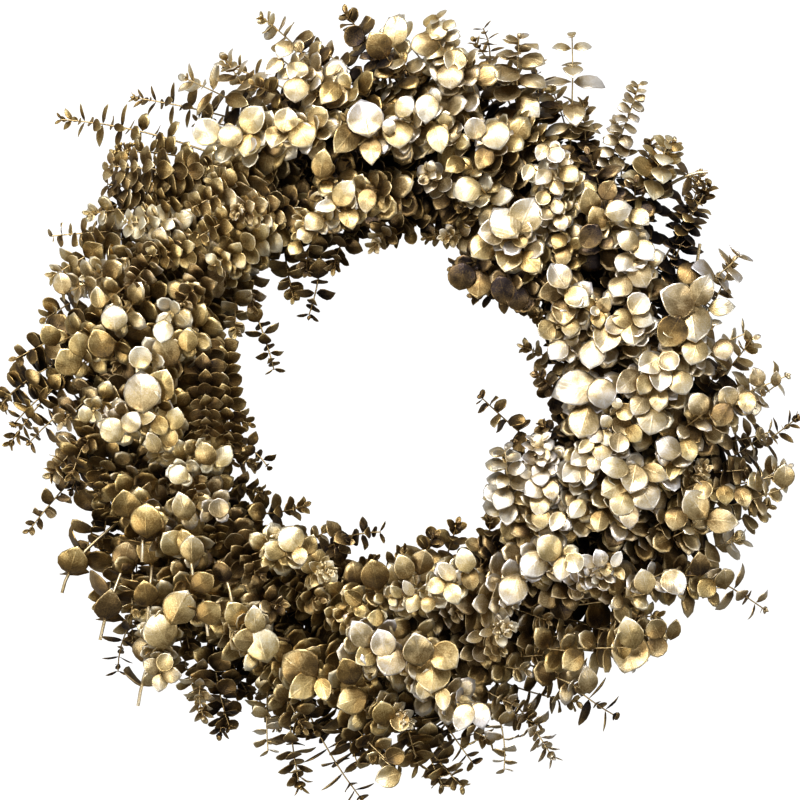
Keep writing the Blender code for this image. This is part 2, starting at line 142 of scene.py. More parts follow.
# Leaves that stand out on top, where an 800 by 800 picture from the front shows the middle of each:
# right of the left edge, below the top edge, leaf length in millimetres, paint, and the bearing
# that its end points to
SHOWN_LEAVES = (
    (206, 131, 22, "w", 120), (230, 135, 19, "w", 100), (252, 119, 23, "w", 60), (248, 142, 22, "g", 260),
    (286, 119, 19, "w", 80), (276, 135, 20, "g", 250), (302, 134, 21, "p", 300), (318, 117, 18, "p", 40),
    (284, 49, 17, "p", 240), (297, 70, 19, "p", 250), (296, 89, 19, "p", 260), (274, 66, 18, "p", 220),
    (330, 92, 21, "g", 240), (365, 117, 28, "w", 100), (346, 139, 25, "g", 235), (371, 150, 22, "g", 270),
    (398, 132, 24, "g", 280), (389, 126, 12, "w", 90), (405, 106, 18, "w", 60), (427, 108, 22, "w", 260),
    (438, 138, 22, "p", 280), (396, 29, 25, "w", 80), (379, 46, 22, "b", 120), (354, 36, 17, "d", 150),
    (437, 29, 18, "w", 60), (425, 43, 22, "p", 200), (455, 60, 20, "p", 250), (450, 75, 20, "p", 280),
    (495, 134, 23, "w", 290), (475, 128, 17, "p", 110), (467, 189, 21, "w", 200), (484, 158, 18, "b", 250),
    (455, 165, 17, "g", 210), (528, 172, 15, "w", 240), (344, 193, 22, "p", 60), (349, 217, 19, "g", 290),
    (367, 200, 19, "b", 270), (326, 206, 17, "w", 200), (314, 221, 16, "p", 230), (305, 233, 14, "p", 210),
    (295, 247, 13, "g", 240), (322, 164, 22, "b", 80), (505, 221, 28, "w", 130), (526, 215, 28, "w", 60),
    (484, 246, 23, "g", 220), (508, 240, 16, "g", 250), (520, 238, 15, "g", 300), (509, 257, 22, "g", 260),
    (530, 262, 21, "g", 310), (492, 232, 20, "p", 190), (556, 155, 14, "w", 300), (542, 152, 14, "w", 240),
    (543, 177, 15, "w", 230), (569, 173, 17, "p", 310), (557, 187, 13, "p", 300), (543, 198, 13, "p", 240),
    (557, 206, 12, "w", 290), (546, 214, 12, "w", 240), (561, 222, 14, "p", 290), (559, 240, 14, "g", 250),
    (563, 256, 14, "g", 280), (590, 202, 22, "g", 100), (608, 190, 16, "b", 60), (598, 218, 18, "b", 120),
    (590, 237, 20, "d", 240), (619, 210, 20, "w", 10), (640, 217, 17, "p", 320), (628, 240, 18, "w", 150),
    (644, 250, 20, "w", 310), (624, 261, 17, "w", 240), (640, 275, 20, "p", 300), (620, 285, 20, "p", 250),
    (559, 275, 21, "w", 110), (552, 291, 21, "b", 200), (577, 297, 20, "w", 320), (564, 311, 21, "g", 270),
    (589, 304, 14, "g", 150), (604, 305, 14, "g", 50), (598, 319, 14, "g", 280), (595, 311, 8, "w", 200),
    (639, 303, 18, "w", 60), (624, 317, 18, "p", 190), (643, 318, 16, "w", 330), (632, 333, 19, "p", 270),
    (615, 325, 17, "p", 210), (678, 300, 28, "p", 150), (702, 290, 25, "p", 60), (693, 320, 32, "w", 270),
    (672, 332, 25, "b", 240), (722, 307, 19, "w", 10), (607, 337, 23, "p", 250), (592, 353, 23, "w", 260),
    (558, 349, 18, "w", 230), (547, 330, 16, "g", 220), (570, 326, 16, "g", 270), (650, 363, 19, "w", 220),
    (669, 361, 17, "p", 300), (695, 350, 22, "w", 250), (723, 349, 17, "p", 290), (661, 378, 20, "w", 270),
    (681, 382, 19, "p", 290), (628, 382, 22, "p", 220), (645, 384, 16, "p", 250), (575, 388, 34, "w", 190),
    (602, 393, 23, "w", 290), (658, 398, 20, "g", 270), (640, 404, 18, "p", 240), (652, 419, 23, "w", 260),
    (584, 421, 25, "p", 250), (625, 412, 15, "g", 300), (622, 426, 17, "g", 270), (634, 434, 15, "g", 310),
    (617, 403, 9, "w", 90), (619, 443, 16, "p", 260), (606, 421, 10, "w", 130), (595, 436, 13, "w", 220),
    (606, 437, 13, "w", 280), (586, 446, 15, "w", 220), (602, 450, 17, "p", 270), (580, 458, 16, "w", 220),
    (595, 461, 16, "p", 260), (573, 472, 19, "w", 220), (587, 475, 17, "p", 270), (614, 467, 23, "w", 170),
    (634, 478, 22, "p", 260), (655, 473, 20, "g", 330), (615, 487, 22, "p", 210), (645, 494, 24, "w", 300),
    (622, 503, 20, "p", 250), (669, 447, 20, "w", 150), (688, 450, 18, "g", 280), (673, 469, 18, "g", 260),
    (578, 508, 17, "w", 230), (557, 521, 17, "w", 250), (629, 516, 19, "p", 270), (600, 520, 17, "g", 250),
    (537, 440, 12, "w", 120), (544, 456, 12, "w", 250), (540, 471, 14, "w", 230), (535, 488, 17, "w", 220),
    (551, 490, 16, "p", 280), (540, 504, 19, "p", 260), (541, 518, 16, "g", 270), (697, 505, 25, "p", 120),
    (722, 521, 24, "p", 350), (676, 518, 18, "g", 250), (703, 490, 16, "p", 270), (725, 495, 15, "g", 280),
    (743, 497, 17, "g", 290), (785, 477, 19, "p", 90), (757, 377, 15, "p", 110), (728, 396, 16, "p", 120),
    (747, 402, 18, "p", 280), (723, 415, 19, "b", 240), (699, 404, 18, "p", 130), (776, 379, 12, "p", 80),
    (141, 391, 30, "w", 100), (160, 386, 25, "g", 70), (140, 357, 18, "w", 110), (166, 352, 25, "g", 120),
    (187, 341, 18, "g", 80), (101, 344, 23, "b", 120), (80, 345, 19, "g", 95), (68, 362, 21, "g", 125),
    (50, 335, 18, "g", 120), (61, 283, 17, "p", 110), (98, 298, 17, "p", 90), (114, 318, 19, "w", 95),
    (163, 330, 18, "w", 270), (112, 430, 20, "w", 120), (131, 422, 17, "w", 60), (85, 414, 13, "w", 100),
    (146, 418, 15, "p", 20), (174, 419, 17, "p", 80), (160, 426, 16, "b", 300), (153, 443, 17, "p", 110),
    (169, 437, 16, "g", 70), (178, 474, 16, "w", 130), (126, 505, 22, "b", 100), (146, 521, 25, "b", 90),
    (183, 507, 22, "p", 100), (205, 454, 18, "g", 110), (223, 456, 18, "w", 60), (462, 277, 21, "d", 262),
    (479, 283, 22, "b", 270), (503, 291, 22, "d", 280), (518, 299, 19, "d", 285), (219, 508, 16, "p", 100),
    (192, 550, 21, "p", 95), (174, 544, 22, "g", 130), (160, 631, 26, "p", 110), (179, 608, 27, "p", 70),
    (202, 583, 19, "b", 30), (209, 613, 19, "b", 40), (236, 614, 19, "g", 130), (255, 620, 21, "p", 95),
    (247, 641, 21, "g", 170), (262, 645, 26, "w", 100), (152, 666, 15, "p", 150), (165, 662, 15, "p", 60),
    (171, 675, 15, "p", 0), (160, 682, 14, "p", 270), (291, 538, 21, "w", 120), (310, 545, 17, "g", 70),
    (275, 550, 17, "p", 150), (300, 556, 14, "p", 280), (375, 576, 24, "b", 100), (404, 567, 20, "p", 110),
    (422, 563, 20, "b", 70), (465, 560, 19, "w", 100), (470, 578, 18, "g", 280), (446, 571, 18, "w", 140),
    (436, 586, 16, "w", 200), (453, 594, 17, "p", 290), (408, 588, 13, "w", 120), (413, 603, 15, "p", 240),
    (428, 604, 13, "p", 260), (396, 592, 12, "p", 130), (513, 589, 24, "w", 250), (534, 563, 24, "w", 230),
    (353, 598, 18, "g", 140), (376, 618, 14, "g", 180), (361, 634, 22, "w", 120), (383, 643, 21, "w", 110),
    (391, 661, 22, "p", 250), (366, 656, 18, "g", 220), (418, 650, 24, "p", 100), (433, 673, 28, "g", 260),
    (445, 656, 23, "p", 320), (300, 668, 29, "b", 150), (303, 687, 24, "g", 220), (323, 689, 18, "g", 280),
    (349, 672, 21, "b", 110), (353, 700, 24, "g", 200), (384, 715, 21, "g", 100), (400, 722, 16, "g", 270),
    (443, 699, 18, "p", 280), (424, 690, 15, "p", 260), (463, 717, 22, "w", 250), (480, 715, 20, "w", 280),
    (395, 756, 17, "b", 30), (388, 777, 19, "p", 190), (550, 548, 22, "p", 140), (562, 568, 18, "p", 270),
    (574, 563, 17, "w", 290), (588, 561, 14, "w", 150), (600, 558, 14, "w", 110), (606, 569, 12, "g", 270),
    (617, 559, 13, "w", 60), (620, 573, 12, "g", 290), (645, 582, 19, "p", 110), (674, 582, 21, "w", 300),
    (700, 565, 19, "b", 100), (726, 580, 19, "g", 110), (707, 588, 16, "g", 230), (630, 652, 30, "g", 250),
    (630, 633, 24, "p", 110), (656, 629, 17, "g", 120), (657, 647, 17, "b", 280), (674, 630, 17, "g", 80),
    (588, 680, 21, "p", 100), (574, 660, 20, "g", 210),
)
# Columns whose line shows in the same picture: tip right and down, foot right and down, height at
# the tip in millimetres, full leaf's length, paint and form (here also u pairs set wide apart and
# e narrow pairs seen edge on)
COLUMNS = (
    (142, 562, 145, 492, 97, 20, "bs"), (100, 640, 118, 552, 80, 23, "bs"),
    (147, 628, 152, 545, 92, 21, "bs"), (193, 575, 186, 512, 99, 20, "gs"),
    (208, 636, 200, 566, 97, 17, "bs"), (138, 706, 146, 640, 62, 20, "gs"),
    (62, 593, 72, 535, 52, 22, "bs"), (232, 602, 222, 540, 96, 17, "bs"),
    (118, 672, 116, 606, 44, 14, "de"), (203, 716, 186, 668, 52, 13, "po"),
    (220, 733, 236, 664, 40, 14, "dr"), (268, 751, 262, 686, 46, 15, "pu"),
    (360, 797, 290, 708, 40, 19, "de"), (357, 762, 333, 700, 56, 22, "de"),
    (472, 762, 432, 708, 46, 18, "de"), (614, 715, 556, 684, 52, 19, "de"),
    (552, 757, 520, 700, 36, 14, "po"), (504, 770, 512, 705, 44, 15, "pu"),
    (505, 450, 509, 532, 92, 19, "wc"), (538, 440, 541, 528, 95, 17, "wc"),
    (381, 532, 318, 530, 62, 15, "du"), (108, 166, 228, 172, 66, 16, "bc"),
    (107, 184, 200, 200, 60, 15, "dc"), (52, 236, 125, 228, 44, 13, "bu"),
    (126, 222, 190, 224, 76, 16, "wc"), (150, 256, 215, 246, 80, 15, "gc"),
    (192, 208, 262, 170, 94, 16, "bc"), (200, 236, 268, 192, 97, 16, "bc"),
    (214, 266, 284, 214, 92, 16, "gc"), (230, 462, 226, 330, 78, 13, "bc"),
    (207, 436, 202, 312, 92, 14, "bc"), (62, 288, 138, 250, 44, 17, "pu"),
    (572, 36, 576, 140, 50, 20, "pu"), (519, 38, 515, 120, 66, 23, "gc"), (483, 28, 508, 72, 44, 12, "be"),
    (533, 60, 551, 118, 50, 15, "de"), (639, 84, 612, 180, 48, 13, "pc"),
    (669, 141, 645, 205, 56, 20, "pc"), (708, 172, 664, 170, 46, 16, "gs"),
    (708, 186, 682, 240, 40, 12, "br"), (739, 256, 700, 300, 46, 22, "wu"),
    (744, 334, 706, 352, 44, 21, "wu"), (438, 18, 455, 108, 74, 19, "pc"),
    (787, 472, 706, 500, 48, 20, "pu"), (786, 376, 712, 410, 50, 17, "pu"),
    (764, 609, 690, 556, 44, 17, "gu"), (770, 432, 700, 456, 52, 17, "gu"),
    (748, 402, 690, 434, 58, 17, "pu"), (744, 470, 690, 474, 60, 17, "bc"),
    (482, 398, 540, 454, 50, 15, "du"), (309, 315, 332, 250, 44, 15, "du"),
    (274, 370, 262, 316, 44, 13, "bu"), (268, 467, 240, 424, 50, 13, "du"), (2, 404, 40, 352, 40, 15, "bu"),
    (30, 442, 82, 382, 46, 16, "bu"), (14, 424, 62, 366, 40, 15, "bu"), (52, 474, 98, 420, 52, 16, "gr"),
    (442, 784, 412, 724, 40, 15, "br"), (418, 764, 398, 700, 58, 17, "br"),
    (226, 60, 262, 112, 50, 17, "pr"), (300, 786, 284, 722, 40, 15, "br"),
)
# The picture's middle and the hole's middle in it, its scale in millimetres on the floor and among
# the leaves, and its camera: height, place from the ring's centre, lens and sensor
PICTURE_MIDDLE = 400.0
HOLE_SEEN = (386.0, 397.0)
SEEN_SCALE = 0.8154
LEAVES_SEEN_SCALE = 0.77
SEEN_HEIGHT = 1600.0
SEEN_FROM = (11.2, -2.4)
LENS = 88.3
SENSOR = 36.0

# Sprigs that fill the depth: distances that they take in turn, the turns that grow from the other
# ring, and lowest and highest height with the darkest and palest painted shade for the high and the low
# ones
FILL_REACH = (158, 245, 190, 264, 215, 150, 235, 177)
FILL_CROSSING = (2, 4, 7)
FILL_HIGH = (60, 88, -0.04, 0.26)
FILL_LOW = (24, 60, -0.18, 0.08)

# How far past its tie, in degrees, a sprig's tip may lie, and past what distance from the ring's
# centre it grows from the outer ring
WINDOW = {"rim": 27.0, "hole": 24.0, "face": 25.0, "fill": 24.0, "shown": 22.0, "column": 15.0}
RING_SPLIT = 195.0

# How each kind grows: leafy length in millimetres, power of the rise, power of the lean, buds' share
Habit = namedtuple("Habit", "leafy rise lean buds")
HABIT = {
    "rim": Habit(96.0, 0.95, 1.25, 0.25),
    "hole": Habit(64.0, 0.95, 1.25, 0.1),
    "face": Habit(84.0, 1.05, 1.1, 0.15),
    "fill": Habit(88.0, 0.95, 1.2, 0.0),
    "shown": Habit(40.0, 0.8, 1.1, 0.0),
    "column": Habit(0.0, 0.8, 1.1, 0.3),
}
SHINGLED_RISES = (0.55, 0.65, 0.8)
TWIG_STEPS = {"rim": 12, "hole": 12, "face": 12, "fill": 8, "shown": 8}
BENT_STEPS = 14

# Millimetres that rim and hole sprigs stop short of their tip's distance, and more on a low rim
EDGE_INSET = 4.0
LOW_RIM_INSET = 11.0
LOW_RIM_HEIGHT = 30

# How far leaves turn their faces to the front, by a sprig's kind and by its form
FACING = {"rim": 0.34, "hole": 0.28, "face": 0.25, "fill": 0.35, "shown": 0.35, "column": 0.3}
FORM_FACING = {"u": 0.3, "e": 0.16}
SHINGLED_FACING = 0.48
LEFT_RIM_FACING = 0.2
LEFT_RIM_BEARING = 200.0

# How far a leaf opens from its twig in degrees on a young pair, and how much more on a full-grown one
OPENED = {"c": (58, 28), "s": (112, 0), "u": (60, 38), "e": (60, 20)}
OPENED_ELSE = (32, 50)

# Space between pairs against the usual one, and the least space in millimetres
WIDE = {"s": 1.9, "c": 0.85, "u": 1.8, "e": 1.3}
HIDDEN_WIDE = 1.25
EDGE_WIDE = 1.25
LEAST_SPACE = 2.2

# Millimetres from the tip where leaves are full grown, where they begin, where they can't be seen
# any more, and where the painted shade of the deep wreath starts on them and how long it takes
RIPE = {"c": 46.0, "s": 8.0}
RIPE_SHORT = 24.0
RIPE_ELSE = 32.0
FIRST_PAIR = 1.2
CUT_END_BARE = 15.0
SHOWN_BARE = 14.0
HIDDEN_FROM = 52.0
SHADE_FROM = 16.0
COLUMN_SHADE_FROM = 14.0
SHADE_LENGTH = 30.0

# Size of the youngest pair against a full leaf, and the length from which a leaf counts as large
YOUNGEST = 0.36
COLUMN_YOUNGEST = 0.54
LARGE_LEAF = 18.5

# A leaf's stalk against its length, the twig's half thickness in metres, and the millimetres of a
# twig's foot that stay bare
LEAF_STALK = 0.1
TWIG_SKIN = 0.0006
BARE_FOOT = 8.0

# Buds: their sizes and their stalks' lengths and spacing in millimetres, how many pairs of stalks,
# how many buds at the tip and on each stalk, how many on other tips, and how much paler they are
BUD_SIZES = (2.8, 4.4)
BUD_STALKS = (4.0, 6.5)
BUD_STEP = 4.2
BUD_PAIRS = 4
TIP_BUDS = 6
STALK_BUDS = (4, 6)
LONE_BUDS = (4, 7)
BUD_PALER = 0.12

# Tone of each paint, and a placed leaf's own tone, warmth and lean back over its foot and to the top
PAINTS = {"w": 0.96, "p": 0.80, "g": 0.62, "b": 0.40, "d": 0.20}
SHOWN_TONES = {"w": 0.81, "p": 0.68, "g": 0.57, "b": 0.43, "d": 0.24}
SHOWN_WARMTH = {"w": -0.1, "p": 0.0, "g": 0.5, "b": 0.2, "d": -0.3}
LEAN_BACK = {"w": 0.28, "p": 0.42, "g": 0.55, "b": 0.34, "d": 0.2}
LEAN_UP = {"w": 0.26, "p": 0.12, "g": 0.04, "b": -0.16, "d": -0.3}

# Tone and warmth round the ring and the painted shade deep in it: middle, swing and the bearing
# where the swing is full; then darker and paler stretches: bearing, half width and change of tone
RING_TONE = (0.51, 0.04, 10.0)
RING_WARMTH = (0.25, -0.4, 10.0)
DEEP_SHADE = (-0.23, -0.11, 20.0)
PATCHES = (
    (4, 10, -0.06), (37, 12, -0.34), (105, 13, -0.15), (146, 16, 0.26),
    (181, 15, -0.08), (205, 30, 0.03), (277, 13, 0.12), (301, 14, 0.17),
)

# The wreath's crest: its height, the distances from the hole's middle between which it is level,
# its slope inside them and its bend outside, and how far pale leaves rise above it
CREST_HEIGHT = 103.0
CREST_INNER = 160.0
CREST_OUTER = 190.0
CREST_SLOPE = 0.3
CREST_BEND = 0.0026
PALE_LIFT = 2.5

# Leaf forms one unit long: name, width, widest point, cup, fold, wave, curl, pointed end, points round
LEAF_FORMS = (
    ("cupped", 1.00, 0.50, 0.20, 0.10, 0.012, 0.14, 0.02, 12),
    ("domed", 0.98, 0.47, -0.20, 0.03, 0.022, 0.34, 0.06, 12),
    ("wavy", 0.93, 0.45, -0.14, 0.18, 0.038, 0.18, 0.07, 12),
    ("oval", 0.70, 0.42, 0.07, 0.14, 0.015, 0.22, 0.07, 12),
    ("narrow", 0.46, 0.42, 0.05, 0.16, 0.010, 0.22, 0.08, 10),
    ("curled", 0.98, 0.48, 0.06, 0.08, 0.020, 0.40, 0.04, 12),
    ("tip", 0.66, 0.50, 0.12, 0.20, 0.0, 0.14, 0.05, 8),
    ("large_domed", 1.04, 0.48, -0.18, 0.04, 0.028, 0.38, 0.04, 16),
    ("large_wavy", 0.98, 0.45, 0.08, 0.12, 0.045, 0.30, 0.07, 16),
    ("plain", 0.98, 0.48, 0.12, 0.08, 0.0, 0.16, 0.03, 8),
    ("plain_domed", 0.92, 0.45, -0.12, 0.04, 0.0, 0.22, 0.05, 8),
    ("large_roofed", 0.94, 0.45, -0.05, -0.22, 0.015, 0.24, 0.08, 16),
    ("large_oval", 0.82, 0.42, -0.10, 0.10, 0.030, 0.26, 0.08, 16),
    ("roofed", 0.88, 0.45, -0.04, -0.22, 0.018, 0.28, 0.08, 12),
)
LEAF_ORDER = {row[0]: index for index, row in enumerate(LEAF_FORMS)}
FORMS = {
    "r": ("cupped", "domed", "wavy", "curled"),
    "c": ("cupped", "domed", "domed", "wavy"),
    "o": ("oval", "wavy"),
    "n": ("narrow", "oval"),
    "k": ("oval", "domed"),
    "s": ("wavy", "domed"),
    "u": ("domed", "wavy"),
    "e": ("narrow", "narrow", "oval"),
    "large": ("large_domed", "large_wavy", "large_roofed"),
    "plain": ("plain", "plain_domed"),
    "shown": ("domed", "wavy", "cupped", "roofed", "oval"),
    "grand": ("large_domed", "large_wavy", "large_roofed", "large_oval"),
}

# Rings of points between a leaf's middle and its rim, fewer on small leaves, and where its foot ends
LEAF_RINGS = (0.52, 0.89, 1.0)
SMALL_LEAF_RINGS = (0.62, 1.0)
SMALL_LEAF_POINTS = 8
LEAF_FOOT = -0.09
MEAN_LEAF = 0.018
VEIN_RATE = 42.0

# The paint: changes of tone on rims, ribs and undersides, colour of the coolest and the warmest
# coat, roughness and metal from thin to thick, and its relief's depth in metres
RIM_PALER = 0.17
RIB_PALER = 0.07
UNDER_DARKER = 0.22
COOL_TINT = (0.99, 0.965, 1.0, 1.0)
WARM_TINT = (1.03, 0.96, 0.75, 1.0)
ROUGHNESS = (0.36, 0.52)
METAL = (0.92, 0.82)
RELIEF = 0.0004

# Noise in the paint and on the wire: scale, detail and roughness
MOTTLE = (130.0, 3.0, 0.6)
SPECKLE = (1000.0, 2.0, 0.6)
CLOUD = (22.0, 1.0, 0.5)
DULLING = (180.0, 4.0, 0.6)

# Leaves are made in this many pieces, and none comes lower than this many millimetres
BUNCHES = 9
LOWEST_LEAF = 1.3
TWIG_SIDES = 5

# Lights: name, place and aim in metres, width in metres, watts and colour
LIGHTS = (
    ("key", (-0.2, 1.35, 1.35), (0, 0.05, 0.03), 1.1, 43.0, (1.0, 0.99, 0.99)),
    ("front", (0.1, 0.1, 2.3), (0, 0, 0), 0.8, 4.5, (1.0, 1.0, 1.0)),
    ("left", (-1.3, -0.75, 1.25), (-0.1, 0, 0.03), 1.1, 18.0, (1.0, 0.98, 0.95)),
    ("right", (1.5, -0.3, 0.9), (0, 0, 0.03), 0.5, 7.0, (1.0, 0.99, 0.97)),
)
SKY_COLOUR = (1.0, 0.99, 0.97, 1.0)
SKY_STRENGTH = 0.132
FLOOR_GREYS = (0.25, 0.80)
FLOOR_ROUGHNESS = 0.9
FLOOR_HALF = 40.0
FLOOR_DROP = 0.0005
FLOOR_GLOW = 0.88


class WreathSettings(bpy.types.PropertyGroup):
    """Sizes and numbers a user would change."""

    seed: bpy.props.IntProperty(
        name="Seed", description="Draws another wreath by the same rules", default=4471
    )
    fill_sprigs: bpy.props.IntProperty(
        name="Filling sprigs", description="Low sprigs that close the ring", default=240, min=0
    )
    leaf_scale: bpy.props.FloatProperty(
        name="Leaf size", description="Size of every leaf against its sprig's", default=1.06,
        subtype="FACTOR", min=0.2, max=2.0,
    )
    leaf_thick: bpy.props.FloatProperty(
        name="Leaf thickness", description="Thickness of a painted leaf", default=0.0005,
        unit="LENGTH",
    )
    pair_gap: bpy.props.FloatProperty(
        name="Pair spacing", description="Space between pairs in leaf lengths", default=0.42,
        subtype="FACTOR",
    )
    twig_radius: bpy.props.FloatProperty(
        name="Twig radius", description="Radius of a twig at its thick end", default=0.0012,
        unit="LENGTH",
    )


class PaintSettings(bpy.types.PropertyGroup):
    """Colours of the metallic paint, from shade to highlight."""

    dark: bpy.props.FloatVectorProperty(
        name="Dark bronze", description="Thinly painted leaf", subtype="COLOR",
        default=(0.056, 0.045, 0.045),
    )
    bronze: bpy.props.FloatVectorProperty(
        name="Bronze", description="Brown gold paint", subtype="COLOR", default=(0.295, 0.208, 0.096),
    )
    gold: bpy.props.FloatVectorProperty(
        name="Gold", description="Full gold paint", subtype="COLOR", default=(0.595, 0.495, 0.30),
    )
    pale: bpy.props.FloatVectorProperty(
        name="Champagne", description="Palest paint", subtype="COLOR", default=(0.75, 0.745, 0.725),
    )


def settings():
    """The wreath's sizes and numbers."""
    return bpy.context.scene.wreath_settings


def paints():
    """The colours of its paint."""
    return bpy.context.scene.wreath_paints


# Places and directions


def polar(bearing, radius, z):
    """A point in metres from a bearing in degrees and a radius and height in millimetres."""
    angle = math.radians(bearing)
    x = RING_CENTRE.x + radius * MM * math.cos(angle)
    y = RING_CENTRE.y + radius * MM * math.sin(angle)
    return Vector((x, y, z * MM))


def bearing_and_reach(point):
    """Bearing in degrees and distance in millimetres of a point from the ring's centre."""
    offset = point - RING_CENTRE
    return math.degrees(math.atan2(offset.y, offset.x)) % 360.0, math.hypot(offset.x, offset.y) / MM


def seen_at(across, down, height):
    """The point in metres at a height in millimetres that the picture shows at a place."""
    scale = SEEN_SCALE * (SEEN_HEIGHT - height) / SEEN_HEIGHT
    x = RING_CENTRE.x + (SEEN_FROM[0] + (across - PICTURE_MIDDLE) * scale) * MM
    y = RING_CENTRE.y + (SEEN_FROM[1] + (PICTURE_MIDDLE - down) * scale) * MM
    return Vector((x, y, height * MM))


def off_by(rng, most):
    """A random number up to this far to either side of zero."""
    return rng.uniform(-most, most)


def sideways(along):
    """A direction across a twig, level unless the twig stands upright."""
    side = along.cross(UP)
    return side if side.length >= 0.1 else Vector((1, 0, 0))


def laid(direction, normal):
    """Rotation that lays a leaf along a direction with its upper side along a normal."""
    across = normal.cross(direction)
    return Matrix((direction, across, normal)).transposed().to_quaternion()


# Tones round the ring


def swinging(bearing, middle, swing, full):
    """A value that swings evenly round the ring."""
    return middle + swing * math.cos(math.radians(bearing - full))


def base_tone(bearing):
    """Paler towards the right, browner towards the left, with a few patches between."""
    tone = swinging(bearing, *RING_TONE)
    for middle, half, change in PATCHES:
        away = abs((bearing - middle + 180) % 360 - 180) / half
        tone += change * math.exp(-away * away)
    return tone


def shaded_deep_tone(bearing):
    """Painted shade on leaves deep in the ring, darkest between the pale columns at the right."""
    return base_tone(bearing) + swinging(bearing, *DEEP_SHADE)


# Shader nodes


def node(tree, kind, **values):
    """A new node with its properties set."""
    made = tree.nodes.new(kind)
    for name, value in values.items():
        setattr(made, name, value)
    return made


def maths(tree, operation, first, second=None, clamp=False):
    """A maths node on sockets or numbers, as its result."""
    made = node(tree, "ShaderNodeMath", operation=operation, use_clamp=clamp)
    for socket, value in zip(made.inputs, (first, second)):
        if isinstance(value, bpy.types.NodeSocket):
            tree.links.new(value, socket)
        elif value is not None:
            socket.default_value = value
    return made.outputs[0]


def noise(tree, values):
    """Noise on object coordinates, with its scale, detail and roughness."""
    place = node(tree, "ShaderNodeTexCoord")
    made = node(tree, "ShaderNodeTexNoise")
    for name, value in zip(("Scale", "Detail", "Roughness"), values):
        made.inputs[name].default_value = value
    tree.links.new(place.outputs["Object"], made.inputs["Vector"])
    return made.outputs["Fac"]


def spread(tree, value, low, high, to_low=0.0, to_high=1.0):
    """A value's stretch from low to high, laid over another one and held to it."""
    made = node(tree, "ShaderNodeMapRange", clamp=True)
    tree.links.new(value, made.inputs["Value"])
    for name, number in zip(("From Min", "From Max", "To Min", "To Max"), (low, high, to_low, to_high)):
        made.inputs[name].default_value = number
    return made.outputs["Result"]


def attribute(tree, name):
    """A mesh attribute's value."""
    return node(tree, "ShaderNodeAttribute", attribute_name=name).outputs["Fac"]


def paint_ramp(tree, tone):
    """The paint's colour for a tone, from dark bronze to champagne."""
    ramp = node(tree, "ShaderNodeValToRGB")
    stops = ramp.color_ramp.elements
    tones = ((0.0, paints().dark), (0.38, paints().bronze), (0.66, paints().gold), (1.0, paints().pale))
    while len(stops) < len(tones):
        stops.new(0.5)
    for stop, (position, colour) in zip(stops, tones):
        stop.position = position
        stop.color = (*colour, 1.0)
    tree.links.new(tone, ramp.inputs["Fac"])
    return ramp.outputs["Color"]


def sprayed_paint():
    """Metallic spray paint: mottled by thinner and thicker layers, speckled, brighter on rims, with painted
    shade at each leaf's foot.
    """
    tree = bpy.data.node_groups.new("Sprayed metallic paint", "ShaderNodeTree")
    face = tree.interface
    given_names = (
        ("Tone", 0.5), ("Warm", 0.0), ("Rim", 0.0), ("Rib", 0.0), ("Under", 0.0), ("Along", 0.6)
    )
    for name, default in given_names:
        face.new_socket(name, in_out="INPUT", socket_type="NodeSocketFloat").default_value = default
    face.new_socket("Color", in_out="OUTPUT", socket_type="NodeSocketColor")
    for name in ("Roughness", "Metallic", "Height"):
        face.new_socket(name, in_out="OUTPUT", socket_type="NodeSocketFloat")
    given = node(tree, "NodeGroupInput").outputs
    out = node(tree, "NodeGroupOutput").inputs
    mottle = noise(tree, MOTTLE)
    speckle = noise(tree, SPECKLE)
    cloud = noise(tree, CLOUD)
    # Mottle, cloud and speckle are the paint's own layers; the last row is painted shade towards each
    # leaf's foot
    coats_and_foot_shade = (
        (mottle, 0.3, 0.7, -0.10, 0.10), (cloud, 0.3, 0.7, -0.06, 0.06),
        (speckle, 0.38, 0.70, -0.07, 0.12), (given["Along"], 0.1, 0.9, -0.27, 0.07),
    )
    tone = given["Tone"]
    for pattern, *stretch in coats_and_foot_shade:
        tone = maths(tree, "ADD", tone, spread(tree, pattern, *stretch))
    tone = maths(tree, "ADD", tone, maths(tree, "MULTIPLY", given["Rim"], RIM_PALER))
    tone = maths(tree, "ADD", tone, maths(tree, "MULTIPLY", given["Rib"], RIB_PALER))
    shade = maths(tree, "MULTIPLY", given["Under"], UNDER_DARKER)
    tone = maths(tree, "SUBTRACT", tone, shade, clamp=True)
    tint = node(tree, "ShaderNodeMix", data_type="RGBA")
    tint.inputs["A"].default_value = COOL_TINT
    tint.inputs["B"].default_value = WARM_TINT
    tree.links.new(spread(tree, given["Warm"], -1.0, 1.0), tint.inputs["Factor"])
    tinted = node(tree, "ShaderNodeMix", data_type="RGBA", blend_type="MULTIPLY")
    tinted.inputs["Factor"].default_value = 1.0
    tree.links.new(paint_ramp(tree, tone), tinted.inputs["A"])
    tree.links.new(tint.outputs["Result"], tinted.inputs["B"])
    tree.links.new(tinted.outputs["Result"], out["Color"])
    tree.links.new(spread(tree, mottle, 0.25, 0.75, *ROUGHNESS), out["Roughness"])
    tree.links.new(spread(tree, tone, 0.1, 0.9, *METAL), out["Metallic"])
    height = maths(tree, "ADD", maths(tree, "MULTIPLY", speckle, 0.35), mottle)
    tree.links.new(maths(tree, "SUBTRACT", height, given["Rib"]), out["Height"])
    return tree


def new_material(name):
    """A material with its node tree and its shader."""
    material = bpy.data.materials.new(name)
    material.use_nodes = True
    tree = material.node_tree
    return material, tree, tree.nodes["Principled BSDF"]


